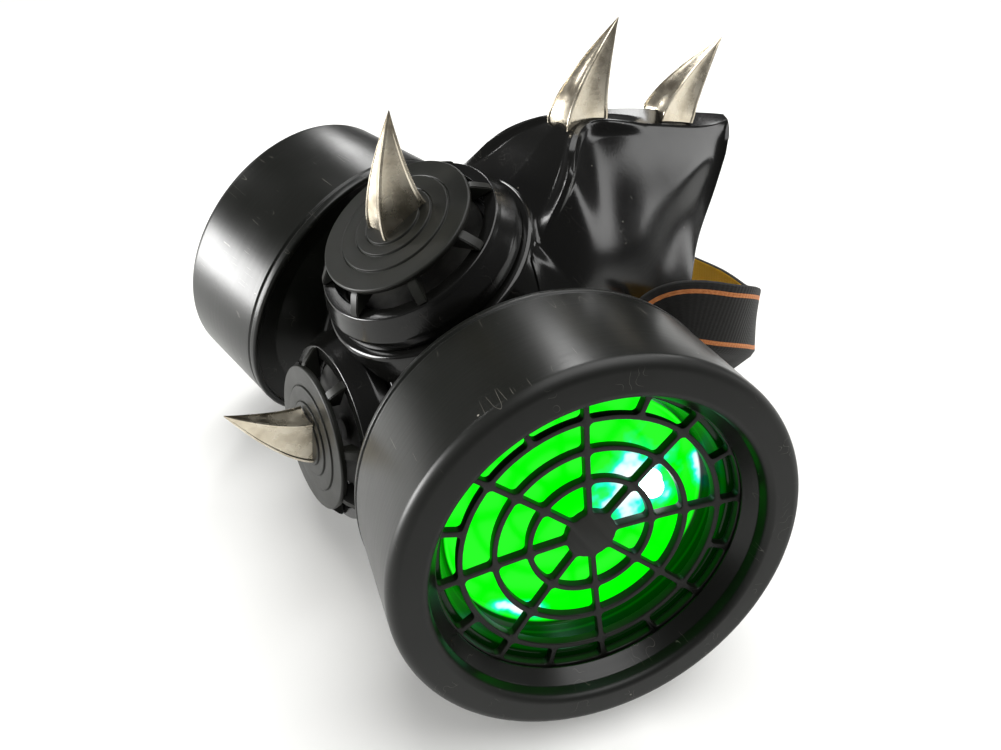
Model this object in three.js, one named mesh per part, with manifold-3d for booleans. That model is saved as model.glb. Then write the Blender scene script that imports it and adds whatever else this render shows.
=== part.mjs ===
// Gas mask style costume half mask: a hollow black face shell, two large lit canisters at the cheeks,
// a front and a chin valve, four metal claw spikes on the centre line and an elastic head strap.
// Millimetres. The mask lies on a table (+Z up) on its chin, its jaws and the backs of its canisters.
// Inside the group "face" the axes are the mask's own: x to its right, y up the face, z forward, with
// the zero at the centre of the front valve's cap.
import * as THREE from "three";
import { mergeVertices } from "three/addons/utils/BufferGeometryUtils.js";
import Module from "manifold-3d";

const wasm = await Module();
wasm.setup();

const gap = 0.3; // left between pieces that touch on the real mask
const degree = Math.PI / 180;

// Driving dimensions: how the mask lies
const restTilt = 30 * degree; // the front valve leans this far from straight up
const standHeight = 90.5; // table to the centre of the front valve's cap

// Driving dimensions: face shell
const noseRise = 94; // valve centre up to the nose bridge
const chinDrop = 52; // valve centre down to the chin
const jawHalfWidth = 45;
const shellDepth = 92; // valve cap back to the jaw's edge
const shellWall = 2.2;
const creaseRib = 1.1; // how far the raised ribs stand off the shell
const ribWidth = 3;

// Driving dimensions: canisters
const canisterRadius = 42; // at the front
const canisterBackRadius = 44.4;
const canisterDepth = 31.6;
const canisterWall = 2.2;
const canisterCentre = new THREE.Vector3(75.25, -18.18, -35.41); // middle of the right one's front
const canisterAxis = new THREE.Vector3(0.927, -0.138, 0.347).normalize();
const backLip = 1.8; // the rim round the back, and how far it is from the groove before it
const lipGroove = 0.5;
const backRecess = 1.5;
const shoulderRadius = 36;
const shoulderDepth = 5; // the cone behind the canister's side wall
const neckRadius = 24;
const neckLength = 4;
const neckBore = 15;
const neckBossRim = 2; // how far the shell's seat for the neck reaches past it
const neckBossDepth = 9;
const bezelDepth = 7;
const bezelRound = 2.5;
const bezelFace = 7.4; // from the canister's edge in to the lit opening
const lipRound = 1.5; // the eased front edge of the opening
const lipSlope = 2.6; // how far the bezel's inner edge slopes in behind the face
const grilleSetback = 6.5; // front of the grille's rim behind the bezel's face
const grilleDepth = 2;
const grilleDish = 2; // how much deeper the grille lies in its middle than at its rim
const webRadii = [13.1, 20.4, 27.4];
const webWall = 1.1;
const hubRadius = 5.3;
const spokeCount = 8;
const spokeTurn = 14.5 * degree; // the first spoke from the canister's own x axis
const reflectorDepth = 7.1;
const reflectorWall = 1.2;
const reflectorRun = 3; // how far the bowl's wall slopes in on its way to its floor
const ledRadius = 2.5;
const ledClearance = 0.5; // from the lamp's tip to the middle of the grille
const ledFlange = 0.7;
const ledUp = 15.5; // from the canister's axis, towards the nose
const ledBack = 5; // and towards the wearer

// Driving dimensions: valves
const capRadius = 18.7;
const capThickness = 1.6;
const capStepHeight = 0.45;
const capStepRadii = [13.4, 9.4];
const cageRadius = 22.6;
const cageDrop = 5; // cap's top to the top edge of the skirt
const skirtRadius = 25.4;
const skirtBand = 2.5; // the upright edge round the skirt's foot
const valveDepth = 13; // cap's top to the shell's boss
const postCount = 8;
const postWidth = 2.2;
const postInner = 15;
const cageInner = 19.6;
const seatThickness = 2.4;
const bossRadius = 27.2;
const bossChamfer = 1;
const bossFlare = 2;
const bossDepth = 9;
const valveBore = 14.5;
const seatRadius = 17.4;
const flapThickness = 0.8;
const flapStud = { radius: 3.5, height: 2 }; // the button in the flap's middle
const chinValveCentre = new THREE.Vector3(0, -50.2, -29.3);
const chinValveTurn = 50.2 * degree; // from the front valve's axis down to the chin valve's

// Driving dimensions: spikes
const spikeHeight = 19;
const spikeWidth = 8;
const spikeLength = 12.5;
const spikeLean = 11.7; // how far the tip leans up the face from the base's middle
const spikeOffset = 1.5; // a cap spike's base from the cap's centre, up the face
const spikeFacet = 0.86; // 1 for flat facets, less for hollow ones
const spikeSink = 2; // the nose spikes' feet are cut to the crest
const spikeLevels = [
  { up: 0, size: 1 },
  { up: 0.12, size: 0.93 },
  { up: 0.3, size: 0.8 },
  { up: 0.5, size: 0.62 },
  { up: 0.7, size: 0.41 },
  { up: 0.87, size: 0.2 },
];
const noseSpikeHeights = { lower: 51.4, upper: 76.8 }; // up the face from the front valve

// Driving dimensions: head strap
const strapWidth = 25;
const strapThickness = 1.4;
const strapReach = 100; // how far back the loop lies from under the front valve
const strapTail = 5; // strap beyond the rivet
const strapSteps = 36;
const strapStandoff = 2.2; // the flat band's middle from the rounded cheek
const strapFlat = 6; // how far past the rivet it stays flat
const rivetRadius = 5;
const rivetHole = 2.2;
const rivetHead = 1.8;

// Facets
const roundSides = 24;
const smallSides = 20;
const webSides = 16;
const lampSides = 12;
const rivetSides = 12;
const boreSides = 20;
const bezelRoundSteps = 2;
const mergedWithin = 0.05; // vertices nearer than this to a flat face or to each other are merged

// Helpers

function solidOf(geometry) {
  const bare = new THREE.BufferGeometry().setAttribute("position", geometry.getAttribute("position"));
  if (geometry.index) bare.setIndex(geometry.index);
  const merged = mergeVertices(bare.index ? bare.toNonIndexed() : bare, 1e-4);
  const solid = new wasm.Manifold(
    new wasm.Mesh({
      numProp: 3,
      vertProperties: new Float32Array(merged.attributes.position.array),
      triVerts: new Uint32Array(merged.index.array),
    }),
  );
  return solid;
}

function geometryOf(solid) {
  const mesh = solid.getMesh();
  const points = new Float32Array(mesh.numVert * 3);
  for (let i = 0; i < mesh.numVert; i++) {
    points.set(mesh.vertProperties.subarray(i * mesh.numProp, i * mesh.numProp + 3), i * 3);
  }
  const geometry = new THREE.BufferGeometry();
  geometry.setAttribute("position", new THREE.BufferAttribute(points, 3));
  geometry.setIndex(new THREE.BufferAttribute(new Uint32Array(mesh.triVerts), 1));
  geometry.computeVertexNormals();
  return geometry;
}

// A turned solid about +z. Its outline is [radius, z] pairs that run clockwise round the material, seen
// with the radius to the right and z up, and either close on themselves or start and end on the axis.
function turned(outline, sides) {
  const points = outline.map(([r, z]) => new THREE.Vector2(r, z));
  const onAxis = outline[0][0] === 0;
  if (!onAxis) points.push(points[0].clone());
  const geometry = new THREE.LatheGeometry(points, sides).rotateX(Math.PI / 2);
  const solid = solidOf(geometry);
  return solid.volume() < 0 ? solidOf(reversed(geometry)) : solid;
}

function reversed(geometry) {
  const flat = geometry.index ? geometry.toNonIndexed() : geometry;
  const p = flat.getAttribute("position");
  for (let i = 0; i < p.count; i += 3) {
    const b = new THREE.Vector3().fromBufferAttribute(p, i + 1);
    const c = new THREE.Vector3().fromBufferAttribute(p, i + 2);
    p.setXYZ(i + 1, c.x, c.y, c.z);
    p.setXYZ(i + 2, b.x, b.y, b.z);
  }
  return flat;
}

function block(width, length, height, matrix) {
  return solidOf(new THREE.BoxGeometry(width, length, height).applyMatrix4(matrix));
}

// The frame of a piece that stands on point, with its own z along axis and its y as near up the face as
// it can be.
function frameAt(point, axis) {
  const z = axis.clone().normalize();
  const x = new THREE.Vector3(0, 1, 0).cross(z).normalize();
  const y = z.clone().cross(x);
  return new THREE.Matrix4().makeBasis(x, y, z).setPosition(point);
}

function movedSolid(solid, matrix) {
  return solidOf(geometryOf(solid).applyMatrix4(matrix));
}

function plastic(color, roughness, metalness = 0) {
  return new THREE.MeshStandardMaterial({ color, roughness, metalness });
}

function piece(name, solid, material) {
  const mesh = new THREE.Mesh(geometryOf(solid.simplify(mergedWithin)), material);
  mesh.name = name;
  return mesh;
}

const glossBlack = plastic(0x14140f, 0.18);
const satinBlack = plastic(0x1c1e1b, 0.5);
const darkGrille = plastic(0x1a211b, 0.55);
const litGreen = plastic(0x18f018, 0.4);
const ledWhite = plastic(0xd8fff0, 0.2);
const castSteel = plastic(0xb9b3a6, 0.28, 1);
const blackWebbing = plastic(0x1b1a17, 0.85);

const lying = new THREE.Matrix4().makeRotationX(restTilt).setPosition(0, 0, standHeight);

// Face shell

// One row for each section of the right half, from the nose bridge to the chin. Each section runs from
// the crest on the centre line over the crease and the cheek to the lip and the rim of the opening.
// Each place is [x, y, z], the crest's only [y, z]: x is a share of jawHalfWidth, y of noseRise above the
// valve and of chinDrop below it, z of shellDepth.
const sections = [
  {
    crest: [1, 0.62], crease: [0.055, 0.993, 0.623], cheek: [0.11, 0.968, 0.63],
    lip: [0.155, 0.93, 0.639], rim: [0.19, 0.88, 0.647],
  },
  {
    crest: [0.957, 0.516], crease: [0.085, 0.934, 0.533], cheek: [0.156, 0.883, 0.565],
    lip: [0.211, 0.83, 0.609], rim: [0.278, 0.771, 0.658],
  },
  {
    crest: [0.894, 0.44], crease: [0.095, 0.872, 0.462], cheek: [0.2, 0.809, 0.511],
    lip: [0.267, 0.734, 0.592], rim: [0.356, 0.681, 0.668],
  },
  {
    crest: [0.809, 0.359], crease: [0.095, 0.787, 0.38], cheek: [0.244, 0.713, 0.457],
    lip: [0.356, 0.633, 0.592], rim: [0.456, 0.606, 0.679],
  },
  {
    crest: [0.723, 0.277], crease: [0.095, 0.702, 0.299], cheek: [0.289, 0.617, 0.402],
    lip: [0.433, 0.548, 0.598], rim: [0.556, 0.537, 0.696],
  },
  {
    crest: [0.628, 0.198], crease: [0.085, 0.612, 0.217], cheek: [0.333, 0.527, 0.348],
    lip: [0.533, 0.463, 0.609], rim: [0.656, 0.457, 0.723],
  },
  {
    crest: [0.516, 0.122], crease: [0.075, 0.509, 0.133], cheek: [0.4, 0.426, 0.315],
    lip: [0.622, 0.367, 0.63], rim: [0.756, 0.356, 0.766],
  },
  {
    crest: [0.417, 0.127], crease: [0.289, 0.411, 0.133], cheek: [0.489, 0.34, 0.304],
    lip: [0.7, 0.266, 0.658], rim: [0.833, 0.25, 0.815],
  },
  {
    crest: [0.328, 0.147], crease: [0.367, 0.321, 0.158], cheek: [0.567, 0.255, 0.304],
    lip: [0.767, 0.16, 0.696], rim: [0.9, 0.138, 0.864],
  },
  {
    crest: [0.234, 0.158], crease: [0.422, 0.245, 0.158], cheek: [0.633, 0.16, 0.315],
    lip: [0.822, 0.043, 0.739], rim: [0.956, 0.011, 0.918],
  },
  {
    crest: [0.085, 0.163], crease: [0.533, 0.106, 0.207], cheek: [0.711, 0.032, 0.37],
    lip: [0.856, -0.135, 0.804], rim: [0.989, -0.192, 0.973],
  },
  {
    crest: [-0.115, 0.168], crease: [0.578, -0.115, 0.228], cheek: [0.756, -0.192, 0.435],
    lip: [0.856, -0.365, 0.859], rim: [1, -0.423, 1],
  },
  {
    crest: [-0.327, 0.207], crease: [0.556, -0.346, 0.293], cheek: [0.744, -0.462, 0.511],
    lip: [0.811, -0.596, 0.87], rim: [0.933, -0.644, 0.978],
  },
  {
    crest: [-0.538, 0.337], crease: [0.533, -0.538, 0.408], cheek: [0.689, -0.692, 0.587],
    lip: [0.689, -0.808, 0.848], rim: [0.778, -0.837, 0.918],
  },
  {
    crest: [-0.75, 0.478], crease: [0.489, -0.75, 0.533], cheek: [0.578, -0.865, 0.663],
    lip: [0.511, -0.952, 0.826], rim: [0.556, -0.952, 0.875],
  },
  {
    crest: [-0.942, 0.614], crease: [0.356, -0.933, 0.652], cheek: [0.378, -0.99, 0.739],
    lip: [0.3, -1.01, 0.79], rim: [0.311, -1, 0.837],
  },
  {
    crest: [-1, 0.81], crease: [0.067, -1, 0.811], cheek: [0.133, -1, 0.813],
    lip: [0.178, -1, 0.817], rim: [0.222, -1, 0.823],
  },
];
const ribSections = [4, 5, 6, 7, 8, 9]; // the rows of the table that the raised rib runs through
const rivetSection = 7;
const rivetStep = 3; // how many steps down the cheek's side from the crease
const stepsAcross = { panel: 2, cheek: 2, side: 3, lip: 1 };

// The table's surface under the tilted mask, at that height up the face.
const tablePlane = (y) => -(standHeight + y * Math.sin(restTilt)) / Math.cos(restTilt);

function sectionPoint([x, y, z]) {
  const rise = y >= 0 ? y * noseRise : y * chinDrop;
  return new THREE.Vector3(x * jawHalfWidth, rise, Math.max(-z * shellDepth, tablePlane(rise)));
}

// The outer face of the shell as rows of points, each from the right rim over the crest to the left one.
function shellRows() {
  const keys = ["crease", "cheek", "lip", "rim"];
  const rails = {
    crest: sections.map(({ crest }) => sectionPoint([0, ...crest])),
    ...Object.fromEntries(keys.map((key) => [key, sections.map((row) => sectionPoint(row[key]))])),
  };
  const rows = [];
  for (let i = 0; i < sections.length; i++) {
    const at = Object.fromEntries(Object.entries(rails).map(([key, points]) => [key, points[i]]));
    const half = [];
    for (let k = 0; k < stepsAcross.panel; k++) {
      half.push(at.crest.clone().lerp(at.crease, k / stepsAcross.panel));
    }
    const side = new THREE.CatmullRomCurve3([at.crease, at.cheek, at.lip, at.rim], false, "centripetal");
    const spans = [stepsAcross.cheek, stepsAcross.side, stepsAcross.lip];
    spans.forEach((steps, span) => {
      for (let k = 0; k < steps; k++) half.push(side.getPoint((span + k / steps) / spans.length));
    });
    half.push(at.rim.clone());
    half.forEach((p) => (p.z = Math.max(p.z, tablePlane(p.y))));
    const mirrored = half.slice(1).map((p) => new THREE.Vector3(-p.x, p.y, p.z));
    rows.push([...half.slice().reverse(), ...mirrored]);
  }
  return rows;
}

function rowNormals(rows) {
  return rows.map((row, i) =>
    row.map((point, j) => {
      const down = rows[Math.min(i + 1, rows.length - 1)][j].clone().sub(rows[Math.max(i - 1, 0)][j]);
      const across = row[Math.min(j + 1, row.length - 1)].clone().sub(row[Math.max(j - 1, 0)]);
      return across.cross(down).normalize();
    }),
  );
}

// A closed wall between two faces given as rows of points, outer first.
function wallBetween(outer, inner) {
  const points = [];
  const quad = (a, b, c, d) => points.push(a, b, c, a, c, d);
  const last = outer.length - 1;
  const end = outer[0].length - 1;
  for (let i = 0; i < last; i++) {
    for (let j = 0; j < end; j++) {
      quad(outer[i][j], outer[i][j + 1], outer[i + 1][j + 1], outer[i + 1][j]);
      quad(inner[i][j], inner[i + 1][j], inner[i + 1][j + 1], inner[i][j + 1]);
    }
    quad(outer[i][0], outer[i + 1][0], inner[i + 1][0], inner[i][0]);
    quad(outer[i][end], inner[i][end], inner[i + 1][end], outer[i + 1][end]);
  }
  for (let j = 0; j < end; j++) {
    quad(outer[0][j], inner[0][j], inner[0][j + 1], outer[0][j + 1]);
    quad(outer[last][j], outer[last][j + 1], inner[last][j + 1], inner[last][j]);
  }
  const solid = solidOf(new THREE.BufferGeometry().setFromPoints(points));
  return solid.volume() < 0 ? solidOf(reversed(new THREE.BufferGeometry().setFromPoints(points))) : solid;
}

const outerRows = shellRows();
const outerNormals = rowNormals(outerRows);
const offsetRows = (distance) =>
  outerRows.map((row, i) => row.map((p, j) => p.clone().addScaledVector(outerNormals[i][j], distance)));

// The inside of the mask, for trimming what stands on the wall: from the inner face most of the way in.
function hollowSolid() {
  const keptOfWall = 0.1;
  const shareIn = 0.7;
  const coreOf = (p) => p.clone().lerp(new THREE.Vector3(0, shareIn * p.y, -0.8 * shellDepth), shareIn);
  const face = offsetRows(keptOfWall - shellWall);
  return wallBetween(face, face.map((row) => row.map(coreOf)));
}

const frontAxis = new THREE.Vector3(0, 0, 1);
const chinAxis = frontAxis.clone().applyAxisAngle(new THREE.Vector3(1, 0, 0), chinValveTurn);
const valves = {
  front: frameAt(new THREE.Vector3(), frontAxis),
  chin: frameAt(chinValveCentre, chinAxis),
};
const acrossX = new THREE.Vector3(-1, 1, 1);
const canisters = {
  right: frameAt(canisterCentre, canisterAxis),
  left: frameAt(canisterCentre.clone().multiply(acrossX), canisterAxis.clone().multiply(acrossX)),
};

const openingRadius = canisterRadius - bezelFace;
const bossTop = -valveDepth - gap;
const neckEnd = -canisterDepth - shoulderDepth - neckLength;

function valveBoss() {
  return turned(
    [
      [0, bossTop],
      [bossRadius - bossChamfer, bossTop],
      [bossRadius, bossTop - bossChamfer],
      [bossRadius + bossFlare, bossTop - bossDepth],
      [bossRadius - bossDepth / 2, bossTop - bossDepth],
      [0, bossTop - bossDepth / 3],
    ],
    roundSides,
  );
}

function neckBoss() {
  const radius = neckRadius + neckBossRim;
  const top = neckEnd - gap;
  const bottom = neckEnd - neckBossDepth;
  const edge = [[radius - bossChamfer, top], [radius, top - bossChamfer]];
  return turned([[0, top], ...edge, [radius, bottom], [0, bottom]], smallSides);
}

function bore(radius, top, bottom) {
  return turned([[0, top], [radius, top], [radius, bottom], [0, bottom]], boreSides);
}

// A rounded rib along the shell's crease.
function creaseRibSolid(side, clearance = 0) {
  const points = ribSections.map((i) => {
    const column = (outerRows[i].length - 1) / 2 - side * stepsAcross.panel;
    return outerRows[i][column].clone().addScaledVector(outerNormals[i][column], creaseRib - ribWidth / 2);
  });
  const section = new THREE.Shape().absarc(0, 0, ribWidth / 2 + clearance, 0, 2 * Math.PI);
  const extrudePath = new THREE.CatmullRomCurve3(points);
  const steps = points.length;
  const options = { steps, curveSegments: 3, bevelEnabled: false, extrudePath };
  return solidOf(new THREE.ExtrudeGeometry(section, options));
}

// The frame on the shell's outer face where a strap end is riveted: low on the cheek's side.
function rivetSeat(side) {
  const middle = (outerRows[rivetSection].length - 1) / 2;
  const column = middle - side * (stepsAcross.panel + stepsAcross.cheek + rivetStep);
  return frameAt(outerRows[rivetSection][column], outerNormals[rivetSection][column]);
}

const rivetSeats = { right: rivetSeat(1), left: rivetSeat(-1) };

function faceShell() {
  const hollow = hollowSolid();
  let shell = wallBetween(outerRows, offsetRows(-shellWall));
  for (const frame of Object.values(valves)) {
    shell = shell.add(movedSolid(valveBoss(), frame).subtract(hollow));
  }
  for (const frame of Object.values(canisters)) {
    shell = shell.add(movedSolid(neckBoss(), frame).subtract(hollow));
  }
  for (const side of [1, -1]) shell = shell.add(creaseRibSolid(side));
  const valveHole = bore(valveBore, 0, -2 * valveDepth - bossDepth);
  const valvePocket = bore(skirtRadius + gap, 0, bossTop);
  for (const frame of Object.values(valves)) shell = shell.subtract(movedSolid(valvePocket, frame));
  const neckHole = bore(neckBore, 0, 2 * neckEnd);
  for (const frame of Object.values(valves)) shell = shell.subtract(movedSolid(valveHole, frame));
  for (const frame of Object.values(canisters)) shell = shell.subtract(movedSolid(neckHole, frame));
  const rivetBore = bore(rivetHole + gap, 2 * shellWall, -2 * shellWall);
  for (const frame of Object.values(rivetSeats)) shell = shell.subtract(movedSolid(rivetBore, frame));
  const under = new THREE.Matrix4().makeTranslation(0, 0, -standHeight).premultiply(lying.clone().invert());
  return shell.subtract(block(6 * shellDepth, 6 * shellDepth, 2 * standHeight, under));
}

// Canisters

const sideRadius = (z) => canisterRadius - ((canisterBackRadius - canisterRadius) * z) / canisterDepth;

function canisterHousing() {
  const back = -canisterDepth;
  const front = -bezelDepth - gap;
  const recess = back + backRecess;
  const floor = recess + canisterWall;
  return turned(
    [
      [neckBore, neckEnd],
      [neckRadius, neckEnd],
      [neckRadius, back - shoulderDepth],
      [shoulderRadius, recess],
      [canisterBackRadius - backLip, recess],
      [canisterBackRadius - backLip, back],
      [canisterBackRadius, back],
      [canisterBackRadius, back + backLip],
      [sideRadius(back) - lipGroove, back + backLip + lipGroove],
      [sideRadius(front), front],
      [sideRadius(front) - canisterWall, front],
      [sideRadius(floor) - canisterWall, floor],
      [shoulderRadius, floor],
      [neckRadius, back - shoulderDepth + 2 * canisterWall],
      [neckBore, back - shoulderDepth + 2 * canisterWall],
    ],
    roundSides,
  );
}

const pocketRadius = openingRadius + gap;
const spigotRadius = sideRadius(-bezelDepth) - canisterWall - gap;
const grilleTop = -grilleSetback - gap;
const grilleBottom = grilleTop - grilleDepth;
const reflectorTop = grilleBottom - gap;
const reflectorFloor = reflectorTop - reflectorDepth;
const reflectorMouth = openingRadius - lipSlope - reflectorWall;
const ledTop = grilleBottom - grilleDish - ledClearance;

function canisterBezel() {
  const spigotEnd = reflectorTop - reflectorWall;
  const round = [];
  for (let i = 0; i <= bezelRoundSteps; i++) {
    const turn = (i * Math.PI) / (2 * bezelRoundSteps);
    round.push([canisterRadius - bezelRound * (1 - Math.cos(turn)), -bezelRound * (1 - Math.sin(turn))]);
  }
  return turned(
    [
      [sideRadius(-bezelDepth), -bezelDepth],
      ...round,
      [openingRadius + lipRound, 0],
      [openingRadius, -lipRound],
      [openingRadius - lipSlope, -grilleSetback],
      [pocketRadius, -grilleSetback],
      [pocketRadius, spigotEnd],
      [spigotRadius, spigotEnd],
      [spigotRadius, -bezelDepth],
    ],
    roundSides,
  );
}

function canisterGrille(side) {
  const turn = side === "right" ? spokeTurn : -spokeTurn;
  const ring = (inner, outer) =>
    turned([[inner, grilleTop], [outer, grilleTop], [outer, grilleBottom], [inner, grilleBottom]], webSides);
  const rimInner = openingRadius - lipSlope;
  const spoke = (from, to, angle) => {
    const place = new THREE.Matrix4().makeTranslation((from + to) / 2, 0, (grilleTop + grilleBottom) / 2);
    place.premultiply(new THREE.Matrix4().makeRotationZ(angle));
    return block(to - from, webWall, grilleDepth, place);
  };
  let web = ring(rimInner, openingRadius);
  for (const radius of webRadii) web = web.add(ring(radius - webWall / 2, radius + webWall / 2));
  const hub = [[0, grilleTop], [hubRadius, grilleTop], [hubRadius, grilleBottom], [0, grilleBottom]];
  web = web.add(turned(hub, 2 * spokeCount));
  const outerRing = webRadii[webRadii.length - 1];
  for (let i = 0; i < spokeCount; i++) {
    const angle = turn + (i * 2 * Math.PI) / spokeCount;
    web = web.add(spoke(hubRadius / 2, rimInner + webWall / 2, angle));
    web = web.add(spoke(outerRing, rimInner + webWall / 2, angle + Math.PI / spokeCount));
  }
  return dished(web);
}

// The web drawn back towards its middle, to a shallow dish that fits in the mouth of the reflector.
function dished(web) {
  const geometry = geometryOf(web);
  const p = geometry.getAttribute("position");
  for (let i = 0; i < p.count; i++) {
    const share = Math.min(Math.hypot(p.getX(i), p.getY(i)) / reflectorMouth, 1);
    p.setZ(i, p.getZ(i) - grilleDish * (1 - share ** 2));
  }
  return solidOf(geometry);
}

function lightReflector() {
  const flangeBottom = reflectorTop - reflectorWall;
  const floorRadius = reflectorMouth + reflectorWall - reflectorRun;
  return turned(
    [
      [0, reflectorFloor - reflectorWall],
      [floorRadius + reflectorWall, reflectorFloor - reflectorWall],
      [reflectorMouth + reflectorWall, flangeBottom],
      [openingRadius, flangeBottom],
      [openingRadius, reflectorTop],
      [reflectorMouth, reflectorTop],
      [floorRadius, reflectorFloor],
      [0, reflectorFloor],
    ],
    smallSides,
  );
}

function ledLamp(side) {
  const foot = reflectorFloor + gap;
  const lamp = turned(
    [
      [0, ledTop],
      [0.6 * ledRadius, ledTop - 0.2 * ledRadius],
      [ledRadius, ledTop - ledRadius],
      [ledRadius, foot + ledFlange],
      [ledRadius + ledFlange, foot + ledFlange],
      [ledRadius + ledFlange, foot],
      [0, foot],
    ],
    lampSides,
  );
  const back = side === "right" ? ledBack : -ledBack;
  return movedSolid(lamp, new THREE.Matrix4().makeTranslation(back, ledUp, 0));
}

// Valves

const capTop = capStepRadii.length * capStepHeight;

function valveCap() {
  const steps = capStepRadii.flatMap((radius, i) => [
    [radius, capStepHeight * i],
    [radius, capStepHeight * (i + 1)],
  ]);
  const outline = [[0, -capThickness], [capRadius, -capThickness], [capRadius, 0], ...steps, [0, capTop]];
  let cap = turned(outline, smallSides);
  const foot = -cageDrop + gap;
  const head = -capThickness / 2;
  for (let i = 0; i < postCount; i++) {
    const place = new THREE.Matrix4().makeTranslation((postInner + cageRadius) / 2, 0, (foot + head) / 2);
    place.premultiply(new THREE.Matrix4().makeRotationZ(((i + 0.5) * 2 * Math.PI) / postCount));
    cap = cap.add(block(cageRadius - postInner, postWidth, head - foot, place));
  }
  return cap;
}

function valveHousing() {
  const seatTop = -valveDepth + seatThickness;
  return turned(
    [
      [cageInner, -cageDrop],
      [cageRadius, -cageDrop],
      [skirtRadius, -valveDepth + skirtBand],
      [skirtRadius, -valveDepth],
      [valveBore, -valveDepth],
      [valveBore, seatTop],
      [cageInner, seatTop],
    ],
    smallSides,
  );
}

function valveFlap() {
  const bottom = -valveDepth + seatThickness + gap;
  const top = bottom + flapThickness;
  const studTop = bottom + flapStud.height;
  const stud = [[0, studTop], [flapStud.radius, studTop], [flapStud.radius, top]];
  return turned([...stud, [seatRadius, top], [seatRadius, bottom], [0, bottom]], webSides);
}

// Spikes

// A four-sided claw with hollow faces that stands on z = 0 and leans towards +y.
function clawSpike(sink = 0) {
  const section = [
    [1, 1],
    [0, spikeFacet],
    [-1, 1],
    [-spikeFacet, 0],
    [-1, -1],
    [0, -spikeFacet],
    [1, -1],
    [spikeFacet, 0],
  ];
  const levels = spikeLevels.map(({ up, size }) =>
    section.map(([x, y]) => {
      const lean = spikeLean * up ** 1.5;
      const height = up === 0 ? -sink : up * spikeHeight;
      return new THREE.Vector3((x * size * spikeWidth) / 2, (y * size * spikeLength) / 2 + lean, height);
    }),
  );
  const tip = new THREE.Vector3(0, spikeLean, spikeHeight);
  const points = [];
  const count = section.length;
  for (let k = 0; k < count; k++) {
    const next = (k + 1) % count;
    for (let i = 0; i + 1 < levels.length; i++) {
      points.push(levels[i][k], levels[i][next], levels[i + 1][next]);
      points.push(levels[i][k], levels[i + 1][next], levels[i + 1][k]);
    }
    points.push(levels[levels.length - 1][k], levels[levels.length - 1][next], tip);
    points.push(levels[0][next], levels[0][k], new THREE.Vector3(0, 0, -sink));
  }
  const solid = solidOf(new THREE.BufferGeometry().setFromPoints(points));
  return solid.volume() < 0 ? solidOf(reversed(new THREE.BufferGeometry().setFromPoints(points))) : solid;
}

// Where the crest of the shell is at a height up the face, with z off it and y along it.
function crestFrame(height) {
  const middle = (outerRows[0].length - 1) / 2;
  const crest = outerRows.map((row) => row[middle]);
  const i = crest.findIndex((p) => p.y < height);
  const share = (crest[i - 1].y - height) / (crest[i - 1].y - crest[i].y);
  const along = crest[i - 1].clone().sub(crest[i]);
  return frameAt(crest[i - 1].clone().lerp(crest[i], share), new THREE.Vector3(1, 0, 0).cross(along));
}

function capSpikeFrame(valve) {
  return new THREE.Matrix4().makeTranslation(0, spikeOffset, capTop + gap).premultiply(valve);
}

function noseSpike(height) {
  let spike = movedSolid(clawSpike(spikeSink), crestFrame(height));
  spike = spike.subtract(wallBetween(offsetRows(gap), offsetRows(-shellWall)));
  for (const side of [1, -1]) spike = spike.subtract(creaseRibSolid(side, gap));
  return spike;
}

// Head strap

// The band's middle line on the table, from the right cheek round the back to the left cheek: the free
// part. Lengths are shares of strapReach across and along and of standHeight up.
const strapRoute = [
  { x: 0.365, y: 0.6, z: 0.655, lean: 0.25 },
  { x: 0.42, y: 0.7, z: 0.635, lean: 0.22 },
  { x: 0.425, y: 0.79, z: 0.59, lean: 0.2 },
  { x: 0.39, y: 0.885, z: 0.52, lean: 0.2 },
  { x: 0.31, y: 0.965, z: 0.475, lean: 0.15 },
  { x: 0.19, y: 1, z: 0.46, lean: 0.1 },
  { x: 0, y: 1.02, z: 0.43, lean: 0.05 },
  { x: -0.22, y: 1.03, z: 0.42, lean: 0.05 },
  { x: -0.42, y: 0.99, z: 0.43, lean: 0.1 },
  { x: -0.53, y: 0.88, z: 0.48, lean: 0.15 },
  { x: -0.54, y: 0.76, z: 0.55, lean: 0.2 },
  { x: -0.47, y: 0.66, z: 0.61, lean: 0.22 },
  { x: -0.385, y: 0.585, z: 0.65, lean: 0.25 },
];

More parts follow.
